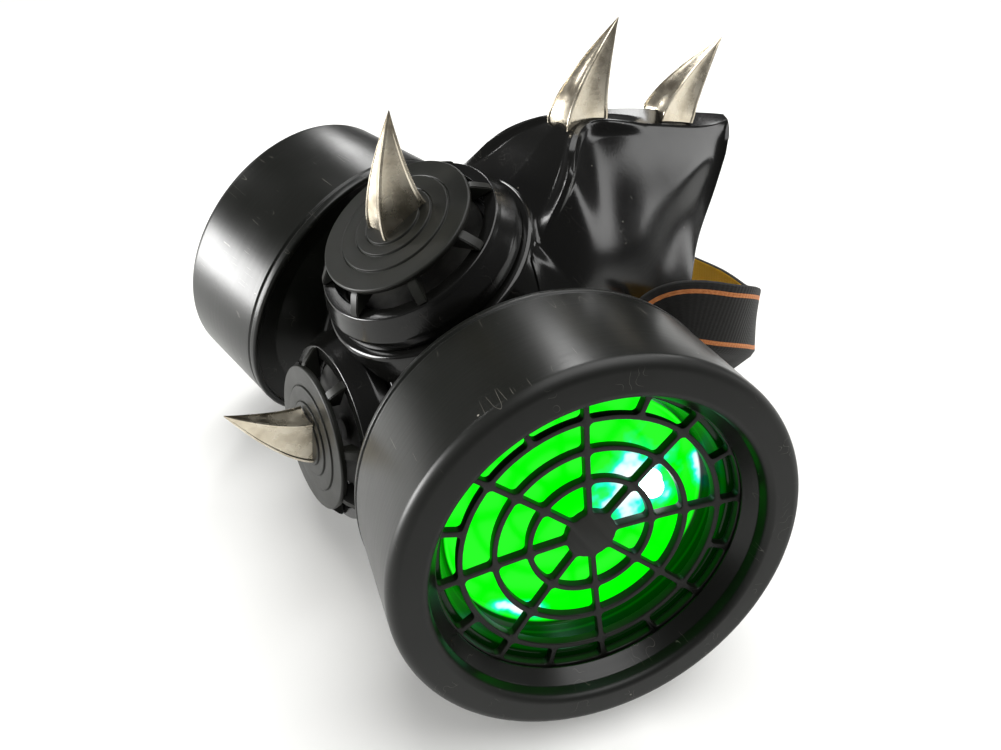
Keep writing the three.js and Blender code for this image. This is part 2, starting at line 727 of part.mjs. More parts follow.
// The band's middle points, with the direction across its width at each.
function bandStations() {
  const upwards = new THREE.Vector3(0, 0, 1);
  const pointOf = ({ x, y, z }) => new THREE.Vector3(x * strapReach, y * strapReach, z * standHeight);
  const free = strapRoute.map(pointOf);
  const tail = (side, next) => {
    const [x, y, out] = [new THREE.Vector3(), new THREE.Vector3(), new THREE.Vector3()];
    const seat = rivetSeats[side].clone().premultiply(lying);
    seat.extractBasis(x, y, out);
    const standoff = strapThickness / 2 + strapStandoff;
    const place = new THREE.Vector3().setFromMatrixPosition(seat).addScaledVector(out, standoff);
    const along = next.clone().sub(place).projectOnPlane(out).normalize();
    const wide = out.clone().cross(along);
    if (wide.z < 0) wide.negate();
    const at = (distance) => ({ point: place.clone().addScaledVector(along, distance), wide });
    return [at(-strapTail), at(0), at(strapFlat)];
  };
  const controls = tail("right", free[0]);
  free.forEach((point, i) => {
    const before = i === 0 ? controls[2].point : free[i - 1];
    const after = free[Math.min(i + 1, free.length - 1)];
    const out = after.clone().sub(before).cross(upwards).normalize();
    controls.push({ point, wide: upwards.clone().addScaledVector(out, -strapRoute[i].lean).normalize() });
  });
  controls.push(...tail("left", free[free.length - 1]).reverse());
  const curve = new THREE.CatmullRomCurve3(controls.map((row) => row.point), false, "centripetal");
  const stations = [];
  for (let i = 0; i <= strapSteps; i++) {
    const t = i / strapSteps;
    const low = Math.min(Math.floor(t * (controls.length - 1)), controls.length - 2);
    const along = curve.getTangent(t);
    const wide = controls[low].wide.clone().lerp(controls[low + 1].wide, t * (controls.length - 1) - low);
    wide.projectOnPlane(along).normalize();
    stations.push({ point: curve.getPoint(t), wide, out: along.clone().cross(wide).normalize() });
  }
  return stations;
}

function headStrap() {
  const corners = [[1, -1], [1, 1], [-1, 1], [-1, -1]].map(([w, t]) => [
    (w * strapWidth) / 2,
    (t * strapThickness) / 2,
  ]);
  const rings = bandStations().map(({ point, wide, out }) =>
    corners.map(([w, t]) => point.clone().addScaledVector(wide, w).addScaledVector(out, t)),
  );
  const points = [];
  const quad = (a, b, c, d) => points.push(a, b, c, a, c, d);
  for (let i = 0; i + 1 < rings.length; i++) {
    for (let k = 0; k < corners.length; k++) {
      const next = (k + 1) % corners.length;
      quad(rings[i][k], rings[i][next], rings[i + 1][next], rings[i + 1][k]);
    }
  }
  const last = rings[rings.length - 1];
  quad(rings[0][3], rings[0][2], rings[0][1], rings[0][0]);
  quad(last[0], last[1], last[2], last[3]);
  const solid = solidOf(new THREE.BufferGeometry().setFromPoints(points));
  let band = solid.volume() < 0 ? solidOf(reversed(new THREE.BufferGeometry().setFromPoints(points))) : solid;
  const shank = bore(rivetHole + gap, 5 * strapThickness, -strapStandoff);
  for (const seat of Object.values(rivetSeats)) {
    band = band.subtract(movedSolid(shank, seat.clone().premultiply(lying)));
  }
  return band;
}

function strapRivet() {
  const under = strapStandoff + strapThickness + gap;
  const shank = [[0, -shellWall], [rivetHole, -shellWall], [rivetHole, under], [rivetRadius, under]];
  const top = under + rivetHead;
  const dome = [[rivetRadius, under + rivetHead / 2], [0.75 * rivetRadius, top], [0, top]];
  return turned([...shank, ...dome], rivetSides);
}

const face = new THREE.Group();
face.rotation.x = restTilt;
face.position.z = standHeight;
face.add(piece("face_shell", faceShell(), glossBlack));
for (const [side, frame] of Object.entries(canisters)) {
  face.add(piece("canister_housing_" + side, movedSolid(canisterHousing(), frame), glossBlack));
  face.add(piece("canister_bezel_" + side, movedSolid(canisterBezel(), frame), satinBlack));
  face.add(piece("canister_grille_" + side, movedSolid(canisterGrille(side), frame), darkGrille));
  face.add(piece("light_reflector_" + side, movedSolid(lightReflector(), frame), litGreen));
  face.add(piece("led_" + side, movedSolid(ledLamp(side), frame), ledWhite));
  face.add(piece("strap_rivet_" + side, movedSolid(strapRivet(), rivetSeats[side]), satinBlack));
}
for (const [end, frame] of Object.entries(valves)) {
  face.add(piece("valve_cap_" + end, movedSolid(valveCap(), frame), satinBlack));
  face.add(piece("valve_housing_" + end, movedSolid(valveHousing(), frame), satinBlack));
  face.add(piece("valve_flap_" + end, movedSolid(valveFlap(), frame), darkGrille));
  face.add(piece("spike_valve_" + end, movedSolid(clawSpike(), capSpikeFrame(frame)), castSteel));
}
for (const [end, height] of Object.entries(noseSpikeHeights)) {
  face.add(piece("spike_nose_" + end, noseSpike(height), castSteel));
}

const group = new THREE.Group();
group.add(face);
group.add(piece("head_strap", headStrap(), blackWebbing));

// The zero is on the table, under the middle of the whole mask.
const extent = new THREE.Box3().setFromObject(group, true);
group.position.set(-(extent.min.x + extent.max.x) / 2, -(extent.min.y + extent.max.y) / 2, -extent.min.z);
export default group;
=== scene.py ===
import math

import bmesh
import bpy
import numpy as np
from mathutils import Matrix, Vector
from mathutils.bvhtree import BVHTree


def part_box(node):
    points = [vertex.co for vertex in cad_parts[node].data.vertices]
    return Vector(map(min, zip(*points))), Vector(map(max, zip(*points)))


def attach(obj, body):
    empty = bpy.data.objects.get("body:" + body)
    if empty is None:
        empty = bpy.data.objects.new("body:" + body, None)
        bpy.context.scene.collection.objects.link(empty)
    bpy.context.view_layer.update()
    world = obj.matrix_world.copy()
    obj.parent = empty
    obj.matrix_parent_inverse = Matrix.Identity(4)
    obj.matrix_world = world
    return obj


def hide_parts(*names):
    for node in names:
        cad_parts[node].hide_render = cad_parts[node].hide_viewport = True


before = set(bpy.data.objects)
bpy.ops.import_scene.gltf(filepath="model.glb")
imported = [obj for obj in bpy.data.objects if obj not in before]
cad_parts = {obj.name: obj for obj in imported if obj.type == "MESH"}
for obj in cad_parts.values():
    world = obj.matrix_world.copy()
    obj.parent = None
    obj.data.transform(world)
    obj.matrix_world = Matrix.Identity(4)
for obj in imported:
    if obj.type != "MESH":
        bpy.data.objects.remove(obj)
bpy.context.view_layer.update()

mm = 0.001
degree = math.pi / 180

# Gas mask style costume half mask, lying on its jaw and the backs of its canisters.
# Sizes are millimetres in the mask's own axes: x to its right, y up the face, z forward, zero at the front valve's cap.
maskPlace = {"tilt": 30 * degree, "standHeight": 90.5}

canister = {
    "centre": (75.25, -18.18, -35.41),
    "axis": (0.927, -0.138, 0.347),
    "radius": 42,
    "backRadius": 44.4,
    "depth": 31.6,
    "wall": 2.2,
    "backLip": 1.8,
    "lipGroove": 0.55,
    "backRecess": 1.5,
    "shoulderRadius": 36,
    "shoulderDepth": 5,
    "neckRadius": 24,
    "neckLength": 4,
    "neckBore": 15,
    "sides": 192,
}
bezel = {
    "depth": 7,
    "edge": 2.5,
    "opening": 34.6,
    "step": (34.3, -3.2),
    "slope": 2.6,
    "setback": 6.5,
    "innerEdge": 1.5,
}
grille = {
    "depth": 2,
    "dish": 2,
    "rings": (13.1, 20.4, 27.4),
    "wall": 1.15,
    "hub": 5.3,
    "spokes": 8,
    "turn": 14.5 * degree,
    "corner": 0.9,
    "bevel": 0.22,
}
reflector = {"depth": 7.1, "wall": 1.2, "floor": 29, "corner": 1.6}
lamp = {"radius": 2.5, "height": 4.6, "flange": 0.7, "up": 15.5, "back": 5}
valve = {
    "cap": 18.7,
    "capThickness": 1.6,
    "grooves": (13.4, 9.4, 6.6),
    "grooveDepth": 0.45,
    "cage": 22.6,
    "cageInner": 19.6,
    "cageDrop": 5,
    "skirt": 25.4,
    "depth": 13,
    "posts": 8,
    "postWidth": 2.2,
    "postInner": 15,
    "seat": 2.4,
    "bore": 14.5,
    "flap": 17.4,
    "flapThickness": 0.8,
    "boss": 27.2,
    "bossFlare": 2.6,
    "bossDepth": 9,
    "chinCentre": (0, -50.2, -29.3),
    "chinTurn": 50.2 * degree,
    "sides": 144,
}
# painted white highlights in the lit bowl, where a lamp or its mirror image shines: x and y from the canister's axis,
# half width, half length and turn
paintedHotSpots = [(3.8, 12.7, 6, 7.5, 0.5), (10.7, 26.5, 1.6, 4.5, 1.2), (10, -23.8, 1.6, 5.5, -1.1)]
clearance = 0.3


# Colours as they are read off a screen, turned to the linear values that the shaders take.
def linear(hexText):
    values = [int(hexText[i:i + 2], 16) / 255 for i in (1, 3, 5)]
    return tuple(v / 12.92 if v <= 0.04045 else ((v + 0.055) / 1.055) ** 2.4 for v in values) + (1.0,)


def addNode(tree, kind, inputs=None, **settings):
    node = tree.nodes.new(kind)
    for name, value in settings.items():
        setattr(node, name, value)
    for name, value in (inputs or {}).items():
        if isinstance(value, bpy.types.NodeSocket):
            tree.links.new(value, node.inputs[name])
        else:
            node.inputs[name].default_value = value
    return node


def newMaterial(name):
    material = bpy.data.materials.new(name)
    material.use_nodes = True
    tree = material.node_tree
    return material, tree, tree.nodes["Principled BSDF"]


# A point's place in its piece's own axes, in metres, as addPiece stores it
def ownPlace(tree):
    return addNode(tree, "ShaderNodeAttribute", attribute_name="ownPlace").outputs["Vector"]


def rampStops(node, stops):
    ramp = node.color_ramp
    while len(ramp.elements) > 1:
        ramp.elements.remove(ramp.elements[-1])
    ramp.elements[0].position, ramp.elements[0].color = stops[0]
    for position, colour in stops[1:]:
        ramp.elements.new(position).color = colour
    return node


# Soft noise of a given grain in metres, drawn out where a stretch is given
def grainNoise(tree, place, size, detail, stretch=None, rotation=(0, 0, 0)):
    if stretch:
        place = addNode(tree, "ShaderNodeMapping", {"Vector": place, "Scale": stretch,
                                                    "Rotation": rotation}).outputs["Vector"]
    return addNode(tree, "ShaderNodeTexNoise", {"Vector": place, "Scale": 1 / size, "Detail": detail}).outputs["Fac"]


def spread(tree, value, fromMin, fromMax, toMin, toMax):
    return addNode(tree, "ShaderNodeMapRange", {"Value": value, "From Min": fromMin, "From Max": fromMax,
                                                "To Min": toMin, "To Max": toMax}).outputs["Result"]


def calc(tree, operation, *values, clamp=False):
    return addNode(tree, "ShaderNodeMath", dict(enumerate(values)), operation=operation, use_clamp=clamp).outputs[0]


# Hairline scratches: drawn out noise, kept where it crosses its middle and where a second noise allows it
def hairlines(tree, place, size, stretch, rotation, thinness, patchSize, patchRange, strength):
    lines = grainNoise(tree, place, size, 0, stretch, rotation)
    nearLine = calc(tree, "ABSOLUTE", calc(tree, "SUBTRACT", lines, 0.5))
    thin = spread(tree, nearLine, 0.0, thinness, 1.0, 0.0)
    where = spread(tree, grainNoise(tree, place, patchSize, 1), *patchRange, 0.0, strength)
    return calc(tree, "MULTIPLY", thin, where)


# Dust: rare round specks
def dustSpecks(tree, place, pitch, near, far, strength):
    specks = addNode(tree, "ShaderNodeTexVoronoi", {"Vector": place, "Scale": 1 / pitch, "Randomness": 1.0})
    return spread(tree, specks.outputs["Distance"], near, far, strength, 0.0)


# The base colour with marks over it, and what light the smooth plastic throws back
def colourAbs(tree, shader, marks, base, markColour, specular):
    colour = addNode(tree, "ShaderNodeMix", {"Factor": marks, "A": base, "B": linear(markColour)}, data_type="RGBA")
    tree.links.new(colour.outputs["Result"], shader.inputs["Base Color"])
    shader.inputs["IOR"].default_value = 1.5
    shader.inputs["Specular IOR Level"].default_value = specular


def addBump(tree, shader, height, strength, distance):
    bump = addNode(tree, "ShaderNodeBump", {"Height": height, "Strength": strength, "Distance": distance})
    tree.links.new(bump.outputs["Normal"], shader.inputs["Normal"])


# Injection moulded ABS from a polished mould: deep black and glossy, with faint flow ripples that blur what it
# reflects, hairline handling scratches and a little dust.
def glossAbs(name, base="#0c0c0b", roughness=0.13, ripple=0.012, scratches=0.5):
    material, tree, shader = newMaterial(name)
    place = ownPlace(tree)
    cloud = grainNoise(tree, place, 22 * mm, 3)
    blur = spread(tree, cloud, 0.3, 0.7, roughness * 0.8, roughness * 1.35)
    scratch = hairlines(tree, place, 1.6 * mm, (1, 1, 0.035), (0.2, 0.1, 0), 0.006, 9 * mm, (0.62, 0.68), scratches)
    tree.links.new(calc(tree, "MULTIPLY_ADD", scratch, 0.35, blur), shader.inputs["Roughness"])
    dust = dustSpecks(tree, place, 7 * mm, 0.022, 0.034, 0.55)
    marks = calc(tree, "MULTIPLY_ADD", scratch, 0.3, dust, clamp=True)
    colourAbs(tree, shader, marks, linear(base), "#9a968c", 0.32)
    addBump(tree, shader, calc(tree, "MULTIPLY_ADD", cloud, 6.0, grainNoise(tree, place, 0.6 * mm, 2)), ripple, 1 * mm)
    return material


# Turned and rubbed ABS: the side of a canister, dark grey in the light, with fine rings round it that draw
# reflections out along the axis, and a few axial scratches. Its front face is spark-eroded and satin.
def rubbedAbs(name, base="#0d0e0b", roughness=0.24):
    material, tree, shader = newMaterial(name)
    place = ownPlace(tree)
    parts = addNode(tree, "ShaderNodeSeparateXYZ", {"Vector": place})
    front = spread(tree, parts.outputs["Z"], -2.2 * mm, -0.3 * mm, roughness, 0.46)
    blur = calc(tree, "MULTIPLY_ADD", grainNoise(tree, place, 14 * mm, 3), 0.12, front)
    tree.links.new(blur, shader.inputs["Roughness"])
    scratch = hairlines(tree, place, 2.2 * mm, (1, 1, 0.05), (0, 0, 0), 0.008, 7 * mm, (0.6, 0.66), 0.7)
    marks = calc(tree, "MULTIPLY_ADD", scratch, 0.45, dustSpecks(tree, place, 8 * mm, 0.02, 0.032, 0.5), clamp=True)
    colourAbs(tree, shader, marks, linear(base), "#a8a49a", 0.32)
    addBump(tree, shader, grainNoise(tree, place, 1.1 * mm, 3, (0.05, 0.05, 1)), 0.06, 0.4 * mm)
    return material


# Moulded ABS with a spark-eroded satin face: dark grey that takes broad soft light and shows no clear reflection.
def satinAbs(name, base="#131411", roughness=0.42):
    material, tree, shader = newMaterial(name)
    place = ownPlace(tree)
    cloud = grainNoise(tree, place, 9 * mm, 4)
    tree.links.new(spread(tree, cloud, 0.3, 0.7, roughness - 0.06, roughness + 0.08), shader.inputs["Roughness"])
    shade = rampStops(addNode(tree, "ShaderNodeValToRGB", {"Fac": cloud}),
                      [(0.3, linear(base)), (0.75, linear("#1c1c18"))])
    dust = dustSpecks(tree, place, 6 * mm, 0.02, 0.03, 0.4)
    colourAbs(tree, shader, dust, shade.outputs["Color"], "#8d8a82", 0.24)
    addBump(tree, shader, grainNoise(tree, place, 0.35 * mm, 3), 0.12, 0.1 * mm)
    return material


# The lit bowl: green tinted acrylic, with its light painted into its emission. Its floor glows with painted green light
# and burns out to painted white highlights with a cyan fringe where a lamp or its mirror image stands; its wall falls
# to painted dark shade with thin painted green reflection lines.
def paintedGlowAcrylic(name, side):
    material, tree, shader = newMaterial(name)
    place = ownPlace(tree)
    ripple = addNode(tree, "ShaderNodeTexNoise", {"Vector": place, "Scale": 1 / (5 * mm), "Detail": 2})
    shake = addNode(tree, "ShaderNodeMath", {0: ripple.outputs["Fac"], 1: 0.5}, operation="SUBTRACT")
    heats = []
    # each painted highlight spot brightens the painted glow around it
    for x, y, width, length, turn in paintedHotSpots:
        moved = addNode(tree, "ShaderNodeMapping", {
            "Vector": place, "Location": (x * side * mm, y * mm, reflectorFloor * mm),
            "Rotation": (0, 0, turn * side), "Scale": (width * mm, length * mm, 12 * mm)}, vector_type="TEXTURE")
        away = addNode(tree, "ShaderNodeVectorMath", {0: moved.outputs["Vector"]}, operation="LENGTH")
        broken = addNode(tree, "ShaderNodeMath", {0: shake.outputs[0], 1: 2.2, 2: away.outputs["Value"]},
                         operation="MULTIPLY_ADD")
        heat = addNode(tree, "ShaderNodeMapRange", {"Value": broken.outputs[0], "From Min": 0.3, "From Max": 1.7,
                                                    "To Min": 1.0, "To Max": 0.0})
        heats.append(heat.outputs["Result"])
    hottest = heats[0]
    for heat in heats[1:]:
        hottest = addNode(tree, "ShaderNodeMath", {0: hottest, 1: heat}, operation="MAXIMUM").outputs[0]
    # painted light: green glow that turns to a painted white highlight with a cyan fringe at the hot spots
    glow = rampStops(addNode(tree, "ShaderNodeValToRGB", {"Fac": hottest}),
                     [(0.0, (0, 1, 0, 1)), (0.3, (0.0, 1, 0.12, 1)), (0.52, (0.02, 1, 0.75, 1)),
                      (0.72, (0.75, 1, 1, 1)), (1.0, (1, 1, 1, 1))])
    parts = addNode(tree, "ShaderNodeSeparateXYZ", {"Vector": place})
    level = addNode(tree, "ShaderNodeMapRange", {"Value": parts.outputs["Z"], "From Min": reflectorFloor * mm,
                                                 "From Max": reflectorTop * mm})
    # painted light by height: a bright painted glow on the floor, painted dark shade on the wall with thin painted
    # reflection lines
    paintedLightByLevel = rampStops(addNode(tree, "ShaderNodeValToRGB", {"Fac": level.outputs["Result"]}),
                       [(0.0, (1.1, 1.1, 1.1, 1)), (0.02, (1, 1, 1, 1)), (0.05, (0.05, 0.05, 0.05, 1)),
                        (0.3, (0.015, 0.015, 0.015, 1)), (0.36, (0.07, 0.07, 0.07, 1)), (0.42, (0.015, 0.015, 0.015, 1)),
                        (0.7, (0.01, 0.01, 0.01, 1)), (0.8, (0.04, 0.04, 0.04, 1)), (1.0, (0.008, 0.008, 0.008, 1))])
    uneven = addNode(tree, "ShaderNodeMapRange", {"Value": ripple.outputs["Fac"], "From Min": 0.3, "From Max": 0.7,
                                                  "To Min": 0.96, "To Max": 1.08})
    strength = addNode(tree, "ShaderNodeMath", {0: paintedLightByLevel.outputs["Color"], 1: uneven.outputs["Result"]},
                       operation="MULTIPLY")
    tree.links.new(glow.outputs["Color"], shader.inputs["Emission Color"])
    tree.links.new(strength.outputs[0], shader.inputs["Emission Strength"])
    shader.inputs["Base Color"].default_value = linear("#030a05")
    shader.inputs["Roughness"].default_value = 0.2
    shader.inputs["IOR"].default_value = 1.49
    shader.inputs["Specular IOR Level"].default_value = 0.2
    return material


# Clear epoxy of a lamp: a hot white core that spills cyan.
def lampEpoxy(name):
    material, tree, shader = newMaterial(name)
    place = ownPlace(tree)
    parts = addNode(tree, "ShaderNodeSeparateXYZ", {"Vector": place})
    rise = addNode(tree, "ShaderNodeMapRange", {"Value": parts.outputs["Z"], "From Min": 0.0, "From Max": lamp["height"] * mm})
    glow = rampStops(addNode(tree, "ShaderNodeValToRGB", {"Fac": rise.outputs["Result"]}),
                     [(0.0, (0.1, 1, 0.6, 1)), (0.6, (0.8, 1, 0.95, 1)), (1.0, (1, 1, 1, 1))])
    tree.links.new(glow.outputs["Color"], shader.inputs["Emission Color"])
    shader.inputs["Emission Strength"].default_value = 6
    shader.inputs["Base Color"].default_value = linear("#d9fff2")
    shader.inputs["Roughness"].default_value = 0.08
    shader.inputs["IOR"].default_value = 1.5
    return material


# Moulded silicone rubber: soft sheen, near black, slightly blotched with talc.
def flapRubber(name):
    material, tree, shader = newMaterial(name)
    place = ownPlace(tree)
    talc = addNode(tree, "ShaderNodeTexNoise", {"Vector": place, "Scale": 1 / (3 * mm), "Detail": 4})
    shade = rampStops(addNode(tree, "ShaderNodeValToRGB", {"Fac": talc.outputs["Fac"]}),
                      [(0.35, linear("#141412")), (0.8, linear("#2b2a27"))])
    tree.links.new(shade.outputs["Color"], shader.inputs["Base Color"])
    bump = addNode(tree, "ShaderNodeBump", {"Height": talc.outputs["Fac"], "Strength": 0.1, "Distance": 0.2 * mm})
    tree.links.new(bump.outputs["Normal"], shader.inputs["Normal"])
    shader.inputs["Roughness"].default_value = 0.5
    shader.inputs["IOR"].default_value = 1.43
    return material


# Zinc die casting, barrel polished and nickel plated: warm bright metal with soft blurred reflections, a faint
# orange-peel wave and darker plating low in its hollows.
def platedNickel(name):
    material, tree, shader = newMaterial(name)
    place = ownPlace(tree)
    wave = addNode(tree, "ShaderNodeTexNoise", {"Vector": place, "Scale": 1 / (4.5 * mm), "Detail": 3})
    peel = addNode(tree, "ShaderNodeTexNoise", {"Vector": place, "Scale": 1 / (0.8 * mm), "Detail": 2})
    shade = rampStops(addNode(tree, "ShaderNodeValToRGB", {"Fac": wave.outputs["Fac"]}),
                      [(0.25, linear("#b3a793")), (0.5, linear("#d9cfbb")), (0.8, linear("#ece4d3"))])
    tree.links.new(shade.outputs["Color"], shader.inputs["Base Color"])
    blur = addNode(tree, "ShaderNodeMapRange", {"Value": wave.outputs["Fac"], "From Min": 0.3, "From Max": 0.7,
                                                "To Min": 0.2, "To Max": 0.33})
    tree.links.new(blur.outputs["Result"], shader.inputs["Roughness"])
    height = addNode(tree, "ShaderNodeMath", {0: wave.outputs["Fac"], 1: 3.0, 2: peel.outputs["Fac"]},
                     operation="MULTIPLY_ADD")
    bump = addNode(tree, "ShaderNodeBump", {"Height": height.outputs[0], "Strength": 0.08, "Distance": 0.2 * mm})
    tree.links.new(bump.outputs["Normal"], shader.inputs["Normal"])
    shader.inputs["Metallic"].default_value = 1.0
    return material


# Woven elastic, 25 mm: black polyester face with two orange pinstripes, mustard back. The weft ribs are 1.1 mm
# apart; the warp threads, 0.5 mm, are drawn at 0.7 mm so that they still show.
def wovenElastic(name):
    material, tree, shader = newMaterial(name)
    flat = addNode(tree, "ShaderNodeUVMap", uv_map="bandFlat").outputs["UV"]
    parts = addNode(tree, "ShaderNodeSeparateXYZ", {"Vector": flat})
    along, across = parts.outputs["X"], parts.outputs["Y"]
    weftPitch, warpPitch = 1.1, 0.7
    weft = addNode(tree, "ShaderNodeMath", {0: along, 1: 2 * math.pi / weftPitch}, operation="MULTIPLY")
    warp = addNode(tree, "ShaderNodeMath", {0: across, 1: 2 * math.pi / warpPitch}, operation="MULTIPLY")
    weftWave = addNode(tree, "ShaderNodeMath", {0: weft.outputs[0]}, operation="SINE")
    warpWave = addNode(tree, "ShaderNodeMath", {0: warp.outputs[0]}, operation="SINE")
    height = addNode(tree, "ShaderNodeMath", {0: weftWave.outputs[0], 1: 1.4, 2: warpWave.outputs[0]},
                     operation="MULTIPLY_ADD")
    fuzz = addNode(tree, "ShaderNodeTexNoise", {"Vector": flat, "Scale": 2.2, "Detail": 4})
    black = rampStops(addNode(tree, "ShaderNodeValToRGB", {"Fac": fuzz.outputs["Fac"]}),
                      [(0.3, linear("#0c0c0b")), (0.75, linear("#1a1815"))])
    orange = rampStops(addNode(tree, "ShaderNodeValToRGB", {"Fac": fuzz.outputs["Fac"]}),
                       [(0.3, linear("#b96a36")), (0.75, linear("#dc9156"))])
    mustard = rampStops(addNode(tree, "ShaderNodeValToRGB", {"Fac": fuzz.outputs["Fac"]}),
                        [(0.3, linear("#d69f14")), (0.75, linear("#f2c42c"))])
    # the face is at across from 0 to 25, with its two pinstripes, and the back from 30 to 55
    stripes = []
    for middle in band["stripes"]:
        off = addNode(tree, "ShaderNodeMath", {0: across, 1: middle}, operation="SUBTRACT")
        near = addNode(tree, "ShaderNodeMath", {0: off.outputs[0]}, operation="ABSOLUTE")
        stripes.append(addNode(tree, "ShaderNodeMath", {0: near.outputs[0], 1: band["stripeWidth"] / 2},
                               operation="LESS_THAN"))
    both = addNode(tree, "ShaderNodeMath", {0: stripes[0].outputs[0], 1: stripes[1].outputs[0]}, operation="ADD")
    face = addNode(tree, "ShaderNodeMix", {"Factor": both.outputs[0], "A": black.outputs["Color"],
                                           "B": orange.outputs["Color"]}, data_type="RGBA")
    isBack = addNode(tree, "ShaderNodeMath", {0: across, 1: band["width"] + 2}, operation="GREATER_THAN")
    colour = addNode(tree, "ShaderNodeMix", {"Factor": isBack.outputs[0], "A": face.outputs["Result"],
                                             "B": mustard.outputs["Color"]}, data_type="RGBA")
    tree.links.new(colour.outputs["Result"], shader.inputs["Base Color"])
    bump = addNode(tree, "ShaderNodeBump", {"Height": height.outputs[0], "Strength": 0.2, "Distance": 0.12 * mm})
    tree.links.new(bump.outputs["Normal"], shader.inputs["Normal"])
    shader.inputs["Roughness"].default_value = 0.82
    shader.inputs["Sheen Weight"].default_value = 0.08
    shader.inputs["Sheen Roughness"].default_value = 0.5
    shader.inputs["IOR"].default_value = 1.45
    return material


# Matt pale table top
def paleLaminate(name):
    material, tree, shader = newMaterial(name)
    place = addNode(tree, "ShaderNodeTexCoord").outputs["Object"]
    cloud = addNode(tree, "ShaderNodeTexNoise", {"Vector": place, "Scale": 1 / (60 * mm), "Detail": 3})
    shade = rampStops(addNode(tree, "ShaderNodeValToRGB", {"Fac": cloud.outputs["Fac"]}),
                      [(0.3, linear("#f1f1ef")), (0.7, linear("#f5f5f3"))])
    tree.links.new(shade.outputs["Color"], shader.inputs["Base Color"])
    shader.inputs["Roughness"].default_value = 0.75
    return material


# The place of a piece that stands on a point, with its own z along an axis and its y as near up the face as it can be
def frameAt(point, axis):
    z = Vector(axis).normalized()
    x = Vector((0, 1, 0)).cross(z).normalized()
    y = z.cross(x)
    made = Matrix.Identity(4)
    for i, column in enumerate((x, y, z, Vector(point))):
        for k in range(3):
            made[k][i] = column[k]
    return made


# From the mask's own axes in millimetres to the row frame in metres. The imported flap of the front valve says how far
# the whole mask stands from the middle: a flat disc's box is centred on the disc.
def maskToRow():
    lying = Matrix.Translation((0, 0, maskPlace["standHeight"])) @ Matrix.Rotation(maskPlace["tilt"], 4, "X")
    flapMiddle = -valve["depth"] + valve["seat"] + clearance + valve["flapThickness"] / 2
    expected = lying @ Vector((0, 0, flapMiddle))
    low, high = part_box("valve_flap_front")
    shift = (low + high) / 2 - expected * mm
    return Matrix.Translation(shift) @ Matrix.Scale(mm, 4) @ lying


toRow = maskToRow()
mirrored = lambda vector: (-vector[0], vector[1], vector[2])
canisterFrames = {
    "right": frameAt(canister["centre"], canister["axis"]),
    "left": frameAt(mirrored(canister["centre"]), mirrored(canister["axis"])),
}
chinAxis = Matrix.Rotation(valve["chinTurn"], 3, "X") @ Vector((0, 0, 1))
valveFrames = {"front": frameAt((0, 0, 0), (0, 0, 1)), "chin": frameAt(valve["chinCentre"], chinAxis)}


def meshOf(name, points, faces):
    mesh = bpy.data.meshes.new(name)
    mesh.from_pydata([tuple(p) for p in points], [], faces)
    mesh.update()
    return mesh


# Faces all out, smooth but for edges sharper than the angle
def finishMesh(mesh, angle=35):
    work = bmesh.new()
    work.from_mesh(mesh)
    bmesh.ops.remove_doubles(work, verts=work.verts, dist=1e-5)
    bmesh.ops.recalc_face_normals(work, faces=work.faces)
    work.to_mesh(mesh)
    work.free()
    mesh.shade_smooth()
    mesh.set_sharp_from_angle(angle=angle * degree)
    return mesh


# Puts a mesh made in millimetres in its place in the row frame, with its finish, its body and the CAD nodes that it
# stands for. Its own coordinates stay with it for the patterns of its material.
def addPiece(name, mesh, place, material, slotName, *nodes):
    own = np.empty(3 * len(mesh.vertices), np.float32)
    mesh.vertices.foreach_get("co", own)
    mesh.attributes.new("ownPlace", "FLOAT_VECTOR", "POINT").data.foreach_set("vector", own * mm)
    mesh.transform(toRow @ place)
    piece = bpy.data.objects.new(name, mesh)
    bpy.context.scene.collection.objects.link(piece)
    for one in material if isinstance(material, (list, tuple)) else [material]:
        mesh.materials.append(one)
    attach(piece, "root")
    if nodes:
        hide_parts(*nodes)
    return piece


# An outline of (radius, height, fillet) corners with each fillet drawn as an arc
def filleted(corners, closed=True, arcStep=12 * degree):
    count = len(corners)
    outline = []
    for i, (r, z, fillet) in enumerate(corners):
        corner = np.array([r, z], float)
        inside = closed or 0 < i < count - 1
        if not fillet or not inside:
            outline.append(corner)
            continue
        before = np.array(corners[(i - 1) % count][:2], float) - corner
        after = np.array(corners[(i + 1) % count][:2], float) - corner
        reach = min(np.linalg.norm(before), np.linalg.norm(after))
        before, after = before / np.linalg.norm(before), after / np.linalg.norm(after)
        opening = math.acos(max(-1, min(1, float(before @ after))))
        if opening > math.pi - 0.02:
            outline.append(corner)
            continue
        tangent = min(fillet / math.tan(opening / 2), 0.49 * reach)
        radius = tangent * math.tan(opening / 2)
        middle = (before + after) / np.linalg.norm(before + after)
        centre = corner + middle * radius / math.sin(opening / 2)
        start, end = corner + before * tangent - centre, corner + after * tangent - centre
        turn = math.pi - opening
        sign = 1 if start[0] * end[1] - start[1] * end[0] > 0 else -1
        steps = max(2, math.ceil(turn / arcStep))
        for k in range(steps + 1):
            a = sign * turn * k / steps
            outline.append(centre + np.array([start[0] * math.cos(a) - start[1] * math.sin(a),
                                              start[0] * math.sin(a) + start[1] * math.cos(a)]))
    return outline


# A turned solid about z from an outline that closes on itself, or that starts and ends on the axis
def turned(name, outline, sides, closed=True):
    points, rings, faces = [], [], []
    for r, z in outline:
        if r < 1e-6:
            rings.append([len(points)] * sides)
            points.append((0, 0, z))
            continue
        rings.append(list(range(len(points), len(points) + sides)))
        points += [(r * math.cos(2 * math.pi * k / sides), r * math.sin(2 * math.pi * k / sides), z)
                   for k in range(sides)]
    pairs = list(zip(rings, rings[1:])) + ([(rings[-1], rings[0])] if closed else [])
    for low, high in pairs:
        for k in range(sides):
            n = (k + 1) % sides
            corners = list(dict.fromkeys((low[k], low[n], high[n], high[k])))
            if len(corners) > 2:
                faces.append(corners)
    return meshOf(name, points, faces)


